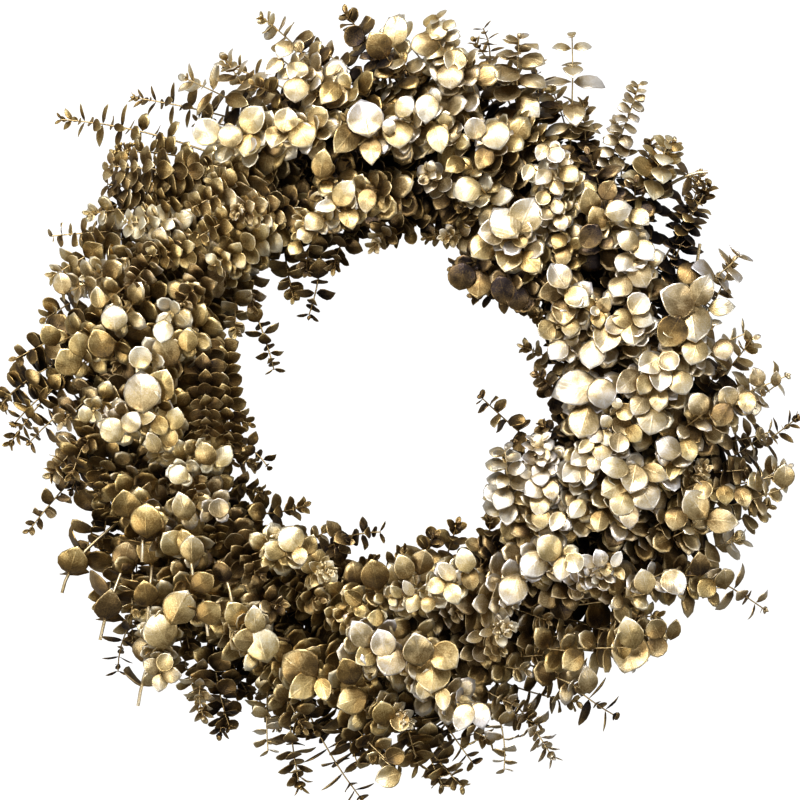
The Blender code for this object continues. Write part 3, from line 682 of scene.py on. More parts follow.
def leaf_ribs(tree, coat):
    """Midrib and slanting side veins from the leaf's own map, with its rim and underside."""
    tree.links.new(attribute(tree, "rim"), coat.inputs["Rim"])
    tree.links.new(attribute(tree, "under"), coat.inputs["Under"])
    place = node(tree, "ShaderNodeUVMap", uv_map="LeafMap")
    split = node(tree, "ShaderNodeSeparateXYZ")
    tree.links.new(place.outputs["UV"], split.inputs["Vector"])
    # The place along the leaf sets the painted shade towards its foot
    tree.links.new(split.outputs["X"], coat.inputs["Along"])
    side = maths(tree, "ABSOLUTE", maths(tree, "SUBTRACT", split.outputs["Y"], 0.5))
    slant = maths(tree, "SUBTRACT", split.outputs["X"], maths(tree, "MULTIPLY", side, 1.3))
    wave = maths(tree, "SINE", maths(tree, "MULTIPLY", slant, VEIN_RATE))
    vein = spread(tree, wave, 0.72, 1.0, 0.0, 0.5)
    rib = spread(tree, side, 0.012, 0.03, 1.0, 0.0)
    tree.links.new(maths(tree, "MAXIMUM", rib, vein), coat.inputs["Rib"])


def painted(name, group, bump=0.25, ribbed=True):
    """A material of sprayed paint on leaves or bark."""
    material, tree, shader = new_material(name)
    coat = node(tree, "ShaderNodeGroup", node_tree=group)
    tree.links.new(attribute(tree, "tone"), coat.inputs["Tone"])
    tree.links.new(attribute(tree, "warm"), coat.inputs["Warm"])
    if ribbed:
        leaf_ribs(tree, coat)
    tree.links.new(coat.outputs["Color"], shader.inputs["Base Color"])
    for channel in ("Roughness", "Metallic"):
        tree.links.new(coat.outputs[channel], shader.inputs[channel])
    relief = node(tree, "ShaderNodeBump")
    relief.inputs["Strength"].default_value = bump
    relief.inputs["Distance"].default_value = RELIEF
    tree.links.new(coat.outputs["Height"], relief.inputs["Height"])
    tree.links.new(relief.outputs["Normal"], shader.inputs["Normal"])
    return material


def wire_material(name, colour, roughness):
    """Green lacquered or bare wire, dulled in patches."""
    material, tree, shader = new_material(name)
    patches = noise(tree, DULLING)
    mix = node(tree, "ShaderNodeMix", data_type="RGBA")
    mix.inputs["A"].default_value = (*[c * 0.55 for c in colour], 1.0)
    mix.inputs["B"].default_value = (*colour, 1.0)
    tree.links.new(spread(tree, patches, 0.35, 0.65), mix.inputs["Factor"])
    tree.links.new(mix.outputs["Result"], shader.inputs["Base Color"])
    dulled = spread(tree, patches, 0.3, 0.7, roughness + 0.15, roughness)
    tree.links.new(dulled, shader.inputs["Roughness"])
    shader.inputs["Metallic"].default_value = 0.5
    return material


# Leaves and buds, one unit long


def give(mesh, name, kind, values, field="value"):
    """Gives a mesh's points an attribute."""
    mesh.attributes.new(name, kind, "POINT").data.foreach_set(field, values)


def leaf_mesh(name, width, widest, cup, fold, wave, curl, pointed, round_count, thick):
    """A closed cupped blade, its foot at the origin, growing along +X, upper side +Z."""

    def surface(share, step):
        angle = math.tau * step / round_count
        x = 0.5 - 0.5 * math.cos(angle) * share
        lean = 1.0 + (0.5 - widest) * 1.6 * math.cos(angle)
        y = 0.5 * width * math.sin(angle) * share * lean
        if share == 1.0 and step == 0:
            x = LEAF_FOOT
        elif share == 1.0 and step == round_count // 2:
            x += pointed
        out = (2 * x - 1) ** 2 + (2 * y / max(width, 0.1)) ** 2
        z = cup * out * 0.5 + fold * abs(y) - curl * x * x * 0.5
        z += wave * math.sin(3 * angle + 1.0) * share
        return Vector((x, y, z - cup * 0.5))

    points = [surface(0.0, 0)]
    for share in LEAF_RINGS if round_count > SMALL_LEAF_POINTS else SMALL_LEAF_RINGS:
        points.extend(surface(share, step) for step in range(round_count))
    under = len(points)
    top_rim = under - round_count
    low_rim = under + 1
    below = Vector((0, 0, thick))
    points.append(points[0] - below)
    points.extend([spot - below for spot in points[top_rim:under]])
    steps = [(step, (step + 1) % round_count) for step in range(round_count)]
    faces = []
    for step, after in steps:
        faces.append((0, 1 + step, 1 + after))
        for ring in range(1, top_rim, round_count):
            outer = ring + round_count
            faces.append((ring + step, outer + step, outer + after, ring + after))
    faces.extend((low_rim + after, low_rim + step, under) for step, after in steps)
    flat_from = len(faces)
    for step, after in steps:
        faces.append((top_rim + step, low_rim + step, low_rim + after, top_rim + after))
    mesh = bpy.data.meshes.new(name)
    mesh.from_pydata(points, [], faces)
    for index, polygon in enumerate(mesh.polygons):
        polygon.use_smooth = index < flat_from
    indices = range(len(points))
    give(mesh, "rim", "FLOAT", [float(top_rim <= i < under or i >= low_rim) for i in indices])
    give(mesh, "under", "FLOAT", [float(i >= under) for i in indices])
    layer = mesh.uv_layers.new(name="LeafMap")
    for loop in mesh.loops:
        spot = points[loop.vertex_index]
        layer.data[loop.index].uv = (spot.x * 0.9 - LEAF_FOOT, spot.y + 0.5)
    return mesh


def bud_mesh(name):
    """A small pointed bud growing along +X."""
    work = bmesh.new()
    bmesh.ops.create_cone(work, cap_ends=True, segments=6, radius1=0.18, radius2=0.34, depth=0.5)
    bmesh.ops.translate(work, verts=work.verts, vec=(0, 0, 0.25))
    cap = max(work.faces, key=lambda f: f.calc_center_median().z)
    poke = bmesh.ops.poke(work, faces=[cap])
    for vert in poke["verts"]:
        vert.co.z += 0.45
    bmesh.ops.rotate(work, verts=work.verts, matrix=Matrix.Rotation(math.radians(90), 3, "Y"))
    bmesh.ops.triangulate(work, faces=work.faces)
    mesh = bpy.data.meshes.new(name)
    work.to_mesh(mesh)
    work.free()
    for polygon in mesh.polygons:
        polygon.use_smooth = True
    return mesh


# Twigs


def stalk(start, ring):
    """A stalk's first points, along the ring that it is tied to."""
    return [polar(start + bearing, ring, STALK_Z) for bearing in STALK_BEARINGS]


class Sprig:
    """One twig from its tie to its tip, with its leaf size, paint and form."""

    def __init__(self, kind, tip, leaf, tone, form, rng, crossing=False, shown=None, foot=None):
        bearing, reach, height = tip
        self.kind = kind
        self.shown = shown
        self.leaf = leaf
        self.tone = tone
        self.form = form
        self.leafy = HABIT[kind].leafy * rng.uniform(0.85, 1.15)
        self.warm = rng.gauss(swinging(bearing, *RING_WARMTH), 0.5)
        # The tone that leaves deep in this sprig go over to: painted shade deep in the ring
        self.deep = shaded_deep_tone(bearing)
        # Under a placed leaf that painted shade goes halfway from the sprig's own tone, and a little darker
        if shown:
            self.deep = (self.deep + tone) / 2 - 0.08
        self.facing = FORM_FACING.get(form, FACING[kind])
        if kind == "column" and form == "c":
            self.facing = SHINGLED_FACING
        if kind == "rim":
            left = max(0.0, math.cos(math.radians(bearing - LEFT_RIM_BEARING)))
            self.facing += LEFT_RIM_FACING * left
        outer = kind == "rim" or (kind != "hole" and reach > RING_SPLIT)
        ring = RING_OUTER if outer != crossing else RING_INNER
        if foot:
            bearing, _ = bearing_and_reach(foot)
        self.station = int(((bearing - WINDOW[kind]) % 360.0) // TIE_STEP)
        start = self.station * TIE_STEP
        if foot:
            end = polar(*tip)
            self.leafy = (end - foot).length / MM
            self.points = self.bent(start, ring, foot, end)
        else:
            self.points = self.path(start, ring, bearing, reach, height, rng)
        self.lengths = [(b - a).length for a, b in zip(self.points, self.points[1:])]

    def path(self, start, ring, bearing, reach, height, rng):
        """A twig that leaves its ring and rises and leans evenly out to its tip."""
        habit = HABIT[self.kind]
        rise = rng.choice(SHINGLED_RISES) if self.form == "c" else habit.rise
        first = start + STALK_ARC
        span = (bearing - first) % 360.0
        sway = off_by(rng, 2.5)
        bob = off_by(rng, 2.0)
        if self.kind in ("rim", "hole"):
            low_rim = self.kind == "rim" and height < LOW_RIM_HEIGHT
            reach -= math.copysign(LOW_RIM_INSET if low_rim else EDGE_INSET, reach - ring)
        points = stalk(start, ring)
        count = TWIG_STEPS[self.kind]
        for index in range(1, count + 1):
            t = index / count
            wave = math.sin(math.pi * 2 * t) * t
            radius = ring + (reach - ring) * t ** habit.lean + sway * wave
            z = STALK_Z + (height - STALK_Z) * t ** rise + bob * wave
            points.append(polar(first + span * t, radius, z))
        return points

    def bent(self, start, ring, foot, end):
        """A twig that rises from its tie and bends into the line from a foot to its end."""
        points = stalk(start, ring)
        first = points[-1]
        lift = first + (first - points[-2]).normalized() * (0.4 * (foot - first).length)
        for index in range(1, BENT_STEPS + 1):
            t = index / BENT_STEPS
            s = 1 - t
            points.append(first * s ** 3 + lift * (3 * s * s * t) + foot * (3 * s * t * t) + end * t ** 3)
        return points

    def at(self, distance):
        """Position and direction at a distance in metres back from the tip."""
        left = distance
        for index in range(len(self.lengths) - 1, -1, -1):
            length = self.lengths[index]
            after, before = self.points[index + 1], self.points[index]
            if left <= length or index == 0:
                share = min(left / length, 1.0)
                return after.lerp(before, share), (after - before).normalized()
            left -= length

    def length(self):
        """The whole twig's length in metres."""
        return sum(self.lengths)


# How leaves and buds stand on twigs


def leaf_turn(along, way, angle, twist, facing):
    """Rotation of a leaf that leaves its twig at an angle, its upper side towards the tip.

    A leaf on the front of its twig lies back along it, which shows more of its face.
    """
    outward = (way - along * way.dot(along)).normalized()
    direction = along * math.cos(angle) + outward * math.sin(angle)
    direction = (direction - along * (1.6 * facing * max(outward.z, 0.0))).normalized()
    normal = along * math.sin(angle) - outward * math.cos(angle)
    normal = normal * (1.0 - facing) + UP * facing
    normal = (normal - direction * normal.dot(direction)).normalized()
    normal = Matrix.Rotation(twist, 3, direction) @ normal
    return laid(direction, normal), direction


def lowest_point(foot, turn, length):
    """About the lowest height that a leaf reaches, from its foot, end and both sides."""
    spots = ((0, 0, 0), (1, 0, -0.2), (0.5, 0.5, 0), (0.5, -0.5, 0))
    return min((foot + turn @ (Vector(spot) * length)).z for spot in spots) - 0.05 * length


def picked(forms, rng):
    """One of the leaf forms that a sprig's form may have."""
    return LEAF_ORDER[rng.choice(FORMS[forms])]


def shown_turn(paint, points, rng):
    """Rotation of a leaf on top of the wreath: pale ones face the light, dark ones turn away."""
    way = math.radians(points + off_by(rng, 7))
    direction = Vector((math.cos(way), math.sin(way), 0))
    normal = Vector((0, LEAN_UP[paint], 1)) - direction * LEAN_BACK[paint]
    normal += Vector((rng.gauss(0, 0.11), rng.gauss(0, 0.11), 0))
    normal.normalize()
    direction = (direction - normal * direction.dot(normal)).normalized()
    return laid(direction, normal), direction


def shown_leaf(sprig, rng):
    """The leaf at the end of a sprig that ends under a placed leaf."""
    turn, size = sprig.shown
    stretch = (size * MM * 0.96, size * MM * rng.uniform(0.92, 1.08), size * MM)
    tone = sprig.tone + rng.gauss(0, 0.03)
    form = picked("grand" if size > LARGE_LEAF else "shown", rng)
    return (sprig.points[-1], turn, stretch, form, tone, sprig.warm)


def leaf_form(sprig, tip_pair, hidden, length, rng):
    """The form of a leaf: a tip leaf on the first pair, plain ones deep in the wreath."""
    if tip_pair:
        return LEAF_ORDER["tip"]
    if hidden:
        return picked("plain", rng)
    if length > LARGE_LEAF and sprig.form == "r":
        return picked("large", rng)
    return picked(sprig.form, rng)


def leaf_rows(sprig, rng):
    """Every leaf of a sprig: place, turn, stretch, form, tone and warmth."""
    column = sprig.kind == "column"
    full = sprig.leaf * settings().leaf_scale
    distance = CUT_END_BARE if sprig.form == "s" else FIRST_PAIR
    roll = rng.choice((0.0, 45.0, 90.0)) + off_by(rng, 10)
    rows = []
    if sprig.shown:
        rows.append(shown_leaf(sprig, rng))
        distance = SHOWN_BARE
    tip_pair = not sprig.shown and sprig.form != "s"
    limit = min(sprig.leafy, sprig.length() / MM - BARE_FOOT)
    shade_from = sprig.leafy - COLUMN_SHADE_FROM if column else SHADE_FROM
    ripe = RIPE.get(sprig.form, RIPE_SHORT if sprig.kind in ("face", "fill") else RIPE_ELSE)
    youngest = COLUMN_YOUNGEST if column else YOUNGEST
    young, older = OPENED.get(sprig.form, OPENED_ELSE)
    while distance < limit:
        age = min(distance / ripe, 1.0)
        size = full * (youngest + (1.0 - youngest) * age ** 0.8)
        hidden = sprig.kind in ("fill", "shown") or (distance > HIDDEN_FROM and not column)
        # Farther from the tip a leaf lies deeper in the wreath, so its tone goes over to the painted shade
        # there
        shading = min(max((distance - shade_from) / SHADE_LENGTH, 0.0), 1.0)
        shaded_tone = sprig.tone + (sprig.deep - sprig.tone) * shading
        place, along = sprig.at(distance * MM)
        side = sideways(along)
        for half in (0.0, 180.0):
            angle = math.radians(young + older * age + off_by(rng, 6))
            way = Matrix.Rotation(math.radians(roll + half + off_by(rng, 8)), 3, along) @ side
            twist = math.radians(rng.gauss(0, 11))
            turn, direction = leaf_turn(along, way, angle, twist, sprig.facing)
            grown = size * rng.uniform(0.86, 1.08)
            foot = place + direction * (LEAF_STALK * grown * MM + TWIG_SKIN)
            if lowest_point(foot, turn, grown * MM) < LOWEST_LEAF * MM:
                continue
            form = leaf_form(sprig, tip_pair, hidden, grown, rng)
            stretch = (grown * MM, grown * MM * rng.uniform(0.9, 1.08), grown * MM)
            tone = shaded_tone + rng.gauss(0, 0.08)
            rows.append((foot, turn, stretch, form, tone, sprig.warm + rng.gauss(0, 0.3)))
        wide = WIDE.get(sprig.form, HIDDEN_WIDE if hidden else 1.0)
        if sprig.kind in ("rim", "hole"):
            wide *= EDGE_WIDE
        distance += max(LEAST_SPACE, settings().pair_gap * size * rng.uniform(0.85, 1.15) * wide)
        roll += 90.0 + off_by(rng, 5)
        tip_pair = False
    return rows


def bud_head(place, along, count, sprig, rng):
    """A head of small buds spreading from the end of a stem."""
    side = sideways(along)
    rows = []
    for _ in range(count):
        way = Matrix.Rotation(rng.uniform(0, math.tau), 3, along) @ side
        turn, direction = leaf_turn(along, way, math.radians(rng.uniform(5, 75)), 0.0, 0.0)
        size = rng.uniform(*BUD_SIZES) * MM
        foot = place + direction * TWIG_SKIN
        rows.append((foot, turn, (size, size, size), 0, sprig.tone + BUD_PALER, sprig.warm))
    return rows


def bud_stalks(sprig, rng):
    """Short stalks along the last stretch of a sprig, each with a head of buds at its end."""
    paths = []
    rows = bud_head(*sprig.at(0.0), TIP_BUDS, sprig, rng)
    for step in range(1, BUD_PAIRS + 1):
        place, along = sprig.at(step * BUD_STEP * MM)
        side = sideways(along).normalized()
        for half in (0, 180):
            roll = math.radians(90 * step + half + off_by(rng, 25))
            way = Matrix.Rotation(roll, 3, along) @ side
            direction = (along * 0.6 + way).normalized()
            end = place + direction * rng.uniform(*BUD_STALKS) * MM
            paths.append([place, place.lerp(end, 0.5), end])
            rows.extend(bud_head(end, direction, rng.randint(*STALK_BUDS), sprig, rng))
    return paths, rows


# All the sprigs


def listed_sprigs(rng):
    """Sprigs round the rim and the hole, and clusters on the face."""
    for kind, rows in (("rim", RIM_SPRIGS), ("hole", HOLE_SPRIGS), ("face", FACE_SPRIGS)):
        for bearing, reach, height, leaf, (paint, form) in rows:
            tone = PAINTS[paint] + off_by(rng, 0.04)
            tone = tone * 0.75 + base_tone(bearing) * 0.25
            yield Sprig(kind, (bearing, reach, height), leaf, tone, form, rng)


def crest(across, down):
    """Height in millimetres of the wreath's top where the picture shows a place."""
    away = math.hypot(across - HOLE_SEEN[0], down - HOLE_SEEN[1]) * LEAVES_SEEN_SCALE
    outside = max(away - CREST_OUTER, 0.0)
    inside = max(CREST_INNER - away, 0.0)
    return CREST_HEIGHT - CREST_BEND * outside ** 2 - CREST_SLOPE * inside


def shown_sprigs(rng):
    """A sprig under each leaf that stands out on top."""
    for across, down, size, paint, points in SHOWN_LEAVES:
        height = crest(across, down)
        height += off_by(rng, 3.0) + (PALE_LIFT if paint in "wp" else 0.0)
        middle = seen_at(across, down, height)
        turn, direction = shown_turn(paint, points, rng)
        foot = middle - direction * (0.5 * size * MM)
        tone = SHOWN_TONES[paint] + off_by(rng, 0.04)
        tip = (*bearing_and_reach(foot), foot.z / MM)
        sprig = Sprig("shown", tip, min(size, 20.0), tone, "r", rng, shown=(turn, size))
        sprig.warm += SHOWN_WARMTH[paint]
        yield sprig


def column_sprigs(rng):
    """Sprigs along the lines that show in the picture."""
    for across, down, foot_across, foot_down, height, leaf, (paint, form) in COLUMNS:
        bearing, reach = bearing_and_reach(seen_at(across, down, height))
        foot = seen_at(foot_across, foot_down, height - 3.0)
        tone = PAINTS[paint] * 0.8 + base_tone(bearing) * 0.2 + off_by(rng, 0.04)
        yield Sprig("column", (bearing, reach, height), leaf, tone, form, rng, foot=foot)


def filling_sprigs(rng):
    """Sprigs by rule all round the ring, every third one high and the others deep."""
    total = settings().fill_sprigs
    for index in range(total):
        lane = index % len(FILL_REACH)
        bearing = 360.0 * (index + off_by(rng, 0.3)) / total
        reach = FILL_REACH[lane] + off_by(rng, 10)
        low, high, shadiest, thick = FILL_HIGH if index % 3 == 0 else FILL_LOW
        height = rng.uniform(low, high) - 0.14 * abs(reach - 185)
        # Fill sprigs lie deep, so their tone is painted shade, darker on the low ones; thick is its palest
        # end
        tone = shaded_deep_tone(bearing) + rng.uniform(shadiest, thick)
        leaf = rng.uniform(14, 19)
        yield Sprig("fill", (bearing, reach, height), leaf, tone, "r", rng, lane in FILL_CROSSING)


def grown_sprigs():
    """All sprigs: the listed ones, then the filling ones by rule."""
    rng = random.Random(settings().seed)
    sprigs = []
    for grow in (listed_sprigs, shown_sprigs, column_sprigs, filling_sprigs):
        sprigs.extend(grow(rng))
    return sprigs, rng


# Geometry Nodes


def growing_tree(name, inputs):
    """A tree from geometry to geometry with named inputs: name, socket kind and default."""
    tree = bpy.data.node_groups.new(name, "GeometryNodeTree")
    face = tree.interface
    face.new_socket("Geometry", in_out="INPUT", socket_type="NodeSocketGeometry")
    sockets = {}
    for label, kind, default in inputs:
        sockets[label] = face.new_socket(label, in_out="INPUT", socket_type=kind)
        if default is not None:
            sockets[label].default_value = default
    face.new_socket("Geometry", in_out="OUTPUT", socket_type="NodeSocketGeometry")
    given = node(tree, "NodeGroupInput").outputs
    return tree, sockets, given


def end_painted(tree, geometry, paint):
    """Ends a tree: what was grown is made real and gets its paint."""
    real = node(tree, "GeometryNodeRealizeInstances")
    coat = node(tree, "GeometryNodeSetMaterial")
    out = node(tree, "NodeGroupOutput")
    tree.links.new(geometry, real.inputs["Geometry"])
    tree.links.new(real.outputs["Geometry"], coat.inputs["Geometry"])
    tree.links.new(paint, coat.inputs["Material"])
    tree.links.new(coat.outputs["Geometry"], out.inputs["Geometry"])


def instance_tree(name):
    """Sets the pieces of a collection on points by their turn, stretch and form."""
    inputs = (
        ("Forms", "NodeSocketCollection", None),
        ("Size", "NodeSocketFloat", 1.0),
        ("Paint", "NodeSocketMaterial", None),
    )
    tree, sockets, given = growing_tree(name, inputs)
    pieces = node(tree, "GeometryNodeCollectionInfo")
    pieces.inputs["Separate Children"].default_value = True
    pieces.inputs["Reset Children"].default_value = True
    place = node(tree, "GeometryNodeInstanceOnPoints")
    place.inputs["Pick Instance"].default_value = True
    reads = {}
    for label, kind in (("turn", "QUATERNION"), ("stretch", "FLOAT_VECTOR"), ("form", "INT")):
        read = node(tree, "GeometryNodeInputNamedAttribute", data_type=kind)
        read.inputs["Name"].default_value = label
        reads[label] = read.outputs["Attribute"]
    scaled = node(tree, "ShaderNodeVectorMath", operation="SCALE")
    links = (
        (given["Forms"], pieces.inputs["Collection"]),
        (reads["stretch"], scaled.inputs[0]),
        (given["Size"], scaled.inputs["Scale"]),
        (given["Geometry"], place.inputs["Points"]),
        (pieces.outputs["Instances"], place.inputs["Instance"]),
        (reads["form"], place.inputs["Instance Index"]),
        (reads["turn"], place.inputs["Rotation"]),
        (scaled.outputs["Vector"], place.inputs["Scale"]),
    )
    for source, target in links:
        tree.links.new(source, target)
    end_painted(tree, place.outputs["Instances"], given["Paint"])
    return tree, sockets


def rod_tree(name):
    """Turns a mesh of edges into round rods of a stated radius, thinned by the wide attribute."""
    inputs = (
        ("Radius", "NodeSocketFloat", None),
        ("Sides", "NodeSocketInt", 6),
        ("Paint", "NodeSocketMaterial", None),
    )
    tree, sockets, given = growing_tree(name, inputs)
    sockets["Radius"].subtype = "DISTANCE"
    curve = node(tree, "GeometryNodeMeshToCurve")
    wide = node(tree, "GeometryNodeInputNamedAttribute", data_type="FLOAT")
    wide.inputs["Name"].default_value = "wide"
    profile = node(tree, "GeometryNodeCurvePrimitiveCircle")
    sweep = node(tree, "GeometryNodeCurveToMesh")
    sweep.inputs["Fill Caps"].default_value = True
    links = (
        (given["Geometry"], curve.inputs["Mesh"]),
        (given["Radius"], profile.inputs["Radius"]),
        (given["Sides"], profile.inputs["Resolution"]),
        (curve.outputs["Curve"], sweep.inputs["Curve"]),
        (profile.outputs["Curve"], sweep.inputs["Profile Curve"]),
        (wide.outputs["Attribute"], sweep.inputs["Scale"]),
    )
    for source, target in links:
        tree.links.new(source, target)
    end_painted(tree, sweep.outputs["Mesh"], given["Paint"])
    return tree, sockets


def made_real(name, mesh, tree, sockets, values):
    """Runs a Geometry Nodes tree on a mesh and keeps the result as a plain mesh object."""
    seedling = bpy.data.objects.new(name + "_points", mesh)
    bpy.context.scene.collection.objects.link(seedling)
    modifier = seedling.modifiers.new("Grow", "NODES")
    modifier.node_group = tree
    for label, value in values.items():
        modifier[sockets[label].identifier] = value
    seedling.update_tag()
    bpy.context.view_layer.update()
    graph = bpy.context.evaluated_depsgraph_get()
    grown = bpy.data.meshes.new_from_object(seedling.evaluated_get(graph))
    bpy.data.objects.remove(seedling)
    bpy.data.meshes.remove(mesh)
    grown.name = name
    piece = bpy.data.objects.new(name, grown)
    bpy.context.scene.collection.objects.link(piece)
    return piece


def point_mesh(name, rows):
    """Leaf or bud points with the attributes that the instance tree reads."""
    places, turns, stretches, forms, tones, warmths = zip(*rows)
    mesh = bpy.data.meshes.new(name)
    mesh.from_pydata(places, [], [])
    give(mesh, "turn", "QUATERNION", [part for turn in turns for part in turn])
    give(mesh, "stretch", "FLOAT_VECTOR", [part for size in stretches for part in size], "vector")
    give(mesh, "form", "INT", forms)
    give(mesh, "tone", "FLOAT", [min(max(tone, 0.0), 1.0) for tone in tones])
    give(mesh, "warm", "FLOAT", warmths)
    return mesh


def path_mesh(name, paths, widths, tones):
    """Edges along each path with a width and a tone at each point."""
    points, edges, wide, tone = [], [], [], []
    for path, path_widths, path_tone in zip(paths, widths, tones):
        first = len(points)
        points.extend(path)
        edges.extend((first + i, first + i + 1) for i in range(len(path) - 1))
        wide.extend(path_widths)
        tone.extend([path_tone] * len(path))
    mesh = bpy.data.meshes.new(name)
    mesh.from_pydata(points, edges, [])
    give(mesh, "wide", "FLOAT", wide)
    give(mesh, "tone", "FLOAT", tone)
    return mesh


def forms_collection(name, meshes):
    """A collection of masters in index order, for the instance tree."""
    made = bpy.data.collections.new(name)
    bpy.context.scene.collection.children.link(made)
    for index, mesh in enumerate(meshes):
        made.objects.link(bpy.data.objects.new(f"{index:02d}_{mesh.name}", mesh))
    return made


def drop_collection(made):
    """Removes the masters once their copies are real."""
    for piece in list(made.objects):
        bpy.data.objects.remove(piece)
    bpy.data.collections.remove(made)


# Operators, and what the first of them grows for the next ones


GROWN = {}


def bunch_of(station):
    """The leaf piece that a tie's sprigs belong to."""
    return station * BUNCHES // TIES


def bunch_nodes(bunch):
    """The CAD sprays that a leaf piece replaces."""
    stations = [k for k in range(TIES) if bunch_of(k) == bunch]
    return [f"spray_{lane}_{k:02d}" for k in stations for lane in ("in", "out")]


def slot_of(bunch):
    """The record's slot that most of a bunch's CAD sprays take."""
    slots = {part["node"]: part["material_slot"] for part in frame["record"]["subparts"]}
    names = [slots[name] for name in bunch_nodes(bunch)]
    return max(set(names), key=names.count)


class WREATH_OT_leaves(bpy.types.Operator):
    """Grow the leaves of every sprig, bunch by bunch"""

    bl_idname = "wreath.leaves"
    bl_label = "Leaves"

    def execute(self, context):
        sprigs, rng = grown_sprigs()
        stalks = []
        buds = []
        for sprig in sprigs:
            if sprig.form == "k":
                paths, heads = bud_stalks(sprig, rng)
                stalks.extend(paths)
                buds.extend(heads)
            elif sprig.form != "s" and rng.random() < HABIT[sprig.kind].buds:
                buds.extend(bud_head(*sprig.at(0.0), rng.randint(*LONE_BUDS), sprig, rng))
        group = sprayed_paint()
        GROWN.update(sprigs=sprigs, stalks=stalks, buds=buds, paint=group)
        material = painted("sprayed_leaf", group)
        thick = settings().leaf_thick / MEAN_LEAF
        masters = [leaf_mesh(name, *shape, thick) for name, *shape in LEAF_FORMS]
        forms = forms_collection("leaf_forms", masters)
        tree, sockets = instance_tree("Leaves on twigs")
        values = {"Forms": forms, "Size": 1.0, "Paint": material}
        for bunch in range(BUNCHES):
            rows = []
            for sprig in sprigs:
                if bunch_of(sprig.station) == bunch:
                    rows.extend(leaf_rows(sprig, rng))
            name = f"leaves_{bunch}"
            piece = made_real(name, point_mesh(name, rows), tree, sockets, values)
            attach(piece, BODY)
            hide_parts(*bunch_nodes(bunch))
            slot_of(bunch)
        drop_collection(forms)
        return {"FINISHED"}


class WREATH_OT_twigs(bpy.types.Operator):
    """Grow the twigs that carry the leaves"""

    bl_idname = "wreath.twigs"
    bl_label = "Twigs"

    def execute(self, context):
        paths, widths, tones = [], [], []
        for sprig in GROWN["sprigs"]:
            cut = sprig.form == "s"
            thick, thinner = (1.15, 0.0) if cut else (1.0, 0.55)
            last = len(sprig.points) - 1
            paths.append(sprig.points)
            widths.append([thick - thinner * index / last for index in range(last + 1)])
            tones.append(0.58 + 0.3 * (sprig.tone - 0.5) + 0.2 * cut)
        for path in GROWN["stalks"]:
            paths.append(path)
            widths.append([0.4] * len(path))
            tones.append(0.75)
        mesh = path_mesh("twigs", paths, widths, tones)
        material = painted("sprayed_bark", GROWN["paint"], bump=0.5, ribbed=False)
        tree, sockets = rod_tree("Twigs")
        values = {"Radius": settings().twig_radius, "Sides": TWIG_SIDES, "Paint": material}
        piece = made_real("twigs", mesh, tree, sockets, values)
        for polygon in piece.data.polygons:
            polygon.use_smooth = True
        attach(piece, BODY)
        return {"FINISHED"}


class WREATH_OT_buds(bpy.types.Operator):
    """Add clusters of buds at the tips of some sprigs"""

    bl_idname = "wreath.buds"
    bl_label = "Buds"

    def execute(self, context):
        forms = forms_collection("bud_forms", [bud_mesh("bud")])
        tree, sockets = instance_tree("Buds on tips")
        material = painted("sprayed_bud", GROWN["paint"], ribbed=False)
        values = {"Forms": forms, "Size": 1.0, "Paint": material}
        piece = made_real("buds", point_mesh("buds", GROWN["buds"]), tree, sockets, values)
        drop_collection(forms)
        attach(piece, BODY)
        return {"FINISHED"}


class WREATH_OT_frame(bpy.types.Operator):
    """Dress the wire frame and the binding wire"""

    bl_idname = "wreath.frame"
    bl_label = "Wire frame"

    def execute(self, context):
        lacquer = wire_material("green_lacquered_wire", (0.055, 0.075, 0.045), 0.38)
        bare = wire_material("annealed_wire", (0.16, 0.14, 0.11), 0.42)
        for name, material in (("wreath_frame", lacquer), ("binding_wire", bare)):
            part = frame["nodes"][name]
            part.data.materials.clear()
            part.data.materials.append(material)
        return {"FINISHED"}


# The stage


def floor_material():
    """A pale floor that the camera sees as evenly lit."""
    material, tree, shader = new_material("pale_floor")
    shader.inputs["Roughness"].default_value = FLOOR_ROUGHNESS
    glow = node(tree, "ShaderNodeEmission")
    camera_ray = node(tree, "ShaderNodeLightPath").outputs["Is Camera Ray"]
    tree.links.new(spread(tree, camera_ray, 0.0, 1.0, *FLOOR_GREYS), shader.inputs["Base Color"])
    mix = node(tree, "ShaderNodeMixShader")
    tree.links.new(maths(tree, "MULTIPLY", camera_ray, FLOOR_GLOW), mix.inputs["Fac"])
    tree.links.new(shader.outputs["BSDF"], mix.inputs[1])
    tree.links.new(glow.outputs["Emission"], mix.inputs[2])
    tree.links.new(mix.outputs["Shader"], tree.nodes["Material Output"].inputs["Surface"])
    return material


def lay_floor(scene):
    """The floor, just under the wreath."""
    mesh = bpy.data.meshes.new("floor")
    corners = [(x * FLOOR_HALF, y * FLOOR_HALF, 0) for x, y in ((-1, -1), (1, -1), (1, 1), (-1, 1))]
    mesh.from_pydata(corners, [], [(0, 1, 2, 3)])
    mesh.materials.append(floor_material())
    floor = bpy.data.objects.new("floor", mesh)
    scene.collection.objects.link(floor)
    floor.location.z = -FLOOR_DROP


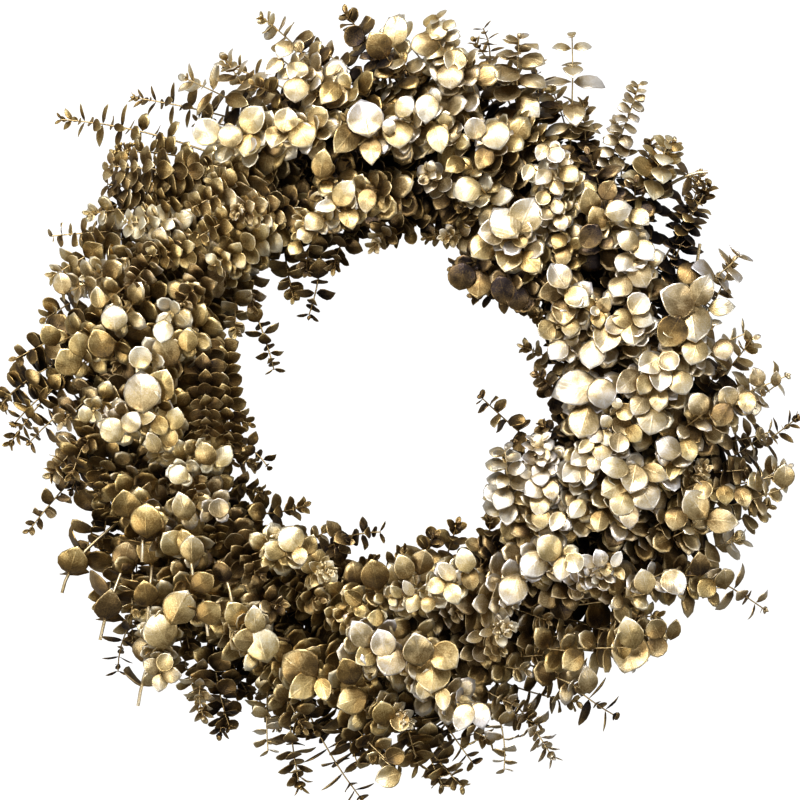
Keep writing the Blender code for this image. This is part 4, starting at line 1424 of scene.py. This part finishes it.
def hang_lights(scene):
    """Soft round lights and a dim even sky."""
    for name, place, aim, width, watts, colour in LIGHTS:
        light = bpy.data.lights.new(name, "AREA")
        light.shape = "DISK"
        light.size = width
        light.energy = watts
        light.color = colour
        lamp = bpy.data.objects.new(name, light)
        lamp.location = place
        lamp.rotation_euler = (Vector(aim) - Vector(place)).to_track_quat("-Z", "Y").to_euler()
        scene.collection.objects.link(lamp)
    world = bpy.data.worlds.new("studio")
    world.use_nodes = True
    sky = world.node_tree.nodes["Background"].inputs
    sky["Color"].default_value = SKY_COLOUR
    sky["Strength"].default_value = SKY_STRENGTH
    scene.world = world


def set_camera(scene):
    """The picture's camera, straight above the wreath."""
    camera = bpy.data.cameras.new("camera")
    camera.lens = LENS
    camera.sensor_width = SENSOR
    seen = bpy.data.objects.new("camera", camera)
    right, up = SEEN_FROM
    seen.location = (RING_CENTRE.x + right * MM, RING_CENTRE.y + up * MM, SEEN_HEIGHT * MM)
    scene.collection.objects.link(seen)
    scene.camera = seen


class WREATH_OT_stage(bpy.types.Operator):
    """Set the floor, the lights and the camera"""

    bl_idname = "wreath.stage"
    bl_label = "Stage"

    def execute(self, context):
        lay_floor(context.scene)
        hang_lights(context.scene)
        set_camera(context.scene)
        context.scene.view_settings.view_transform = "Standard"
        context.scene.view_settings.look = "Medium High Contrast"
        return {"FINISHED"}


class WREATH_PT_panel(bpy.types.Panel):
    """Lists the steps that make the wreath"""

    bl_label = "Eucalyptus wreath"
    bl_idname = "WREATH_PT_panel"
    bl_space_type = "VIEW_3D"
    bl_region_type = "UI"
    bl_category = "Wreath"

    def draw(self, context):
        for step in STEPS:
            self.layout.operator(step.bl_idname)


STEPS = (WREATH_OT_stage, WREATH_OT_leaves, WREATH_OT_twigs, WREATH_OT_buds, WREATH_OT_frame)
CLASSES = (WreathSettings, PaintSettings, *STEPS, WREATH_PT_panel)


def register():
    """Registers the classes and puts the settings on the scene."""
    for part in CLASSES:
        bpy.utils.register_class(part)
    bpy.types.Scene.wreath_settings = bpy.props.PointerProperty(type=WreathSettings)
    bpy.types.Scene.wreath_paints = bpy.props.PointerProperty(type=PaintSettings)


def unregister():
    """Takes the settings and the classes away again."""
    del bpy.types.Scene.wreath_paints
    del bpy.types.Scene.wreath_settings
    for part in reversed(CLASSES):
        bpy.utils.unregister_class(part)


def main():
    register()
    bpy.ops.wreath.stage()
    bpy.ops.wreath.leaves()
    bpy.ops.wreath.twigs()
    bpy.ops.wreath.buds()
    bpy.ops.wreath.frame()


if __name__ == "__main__":
    main()
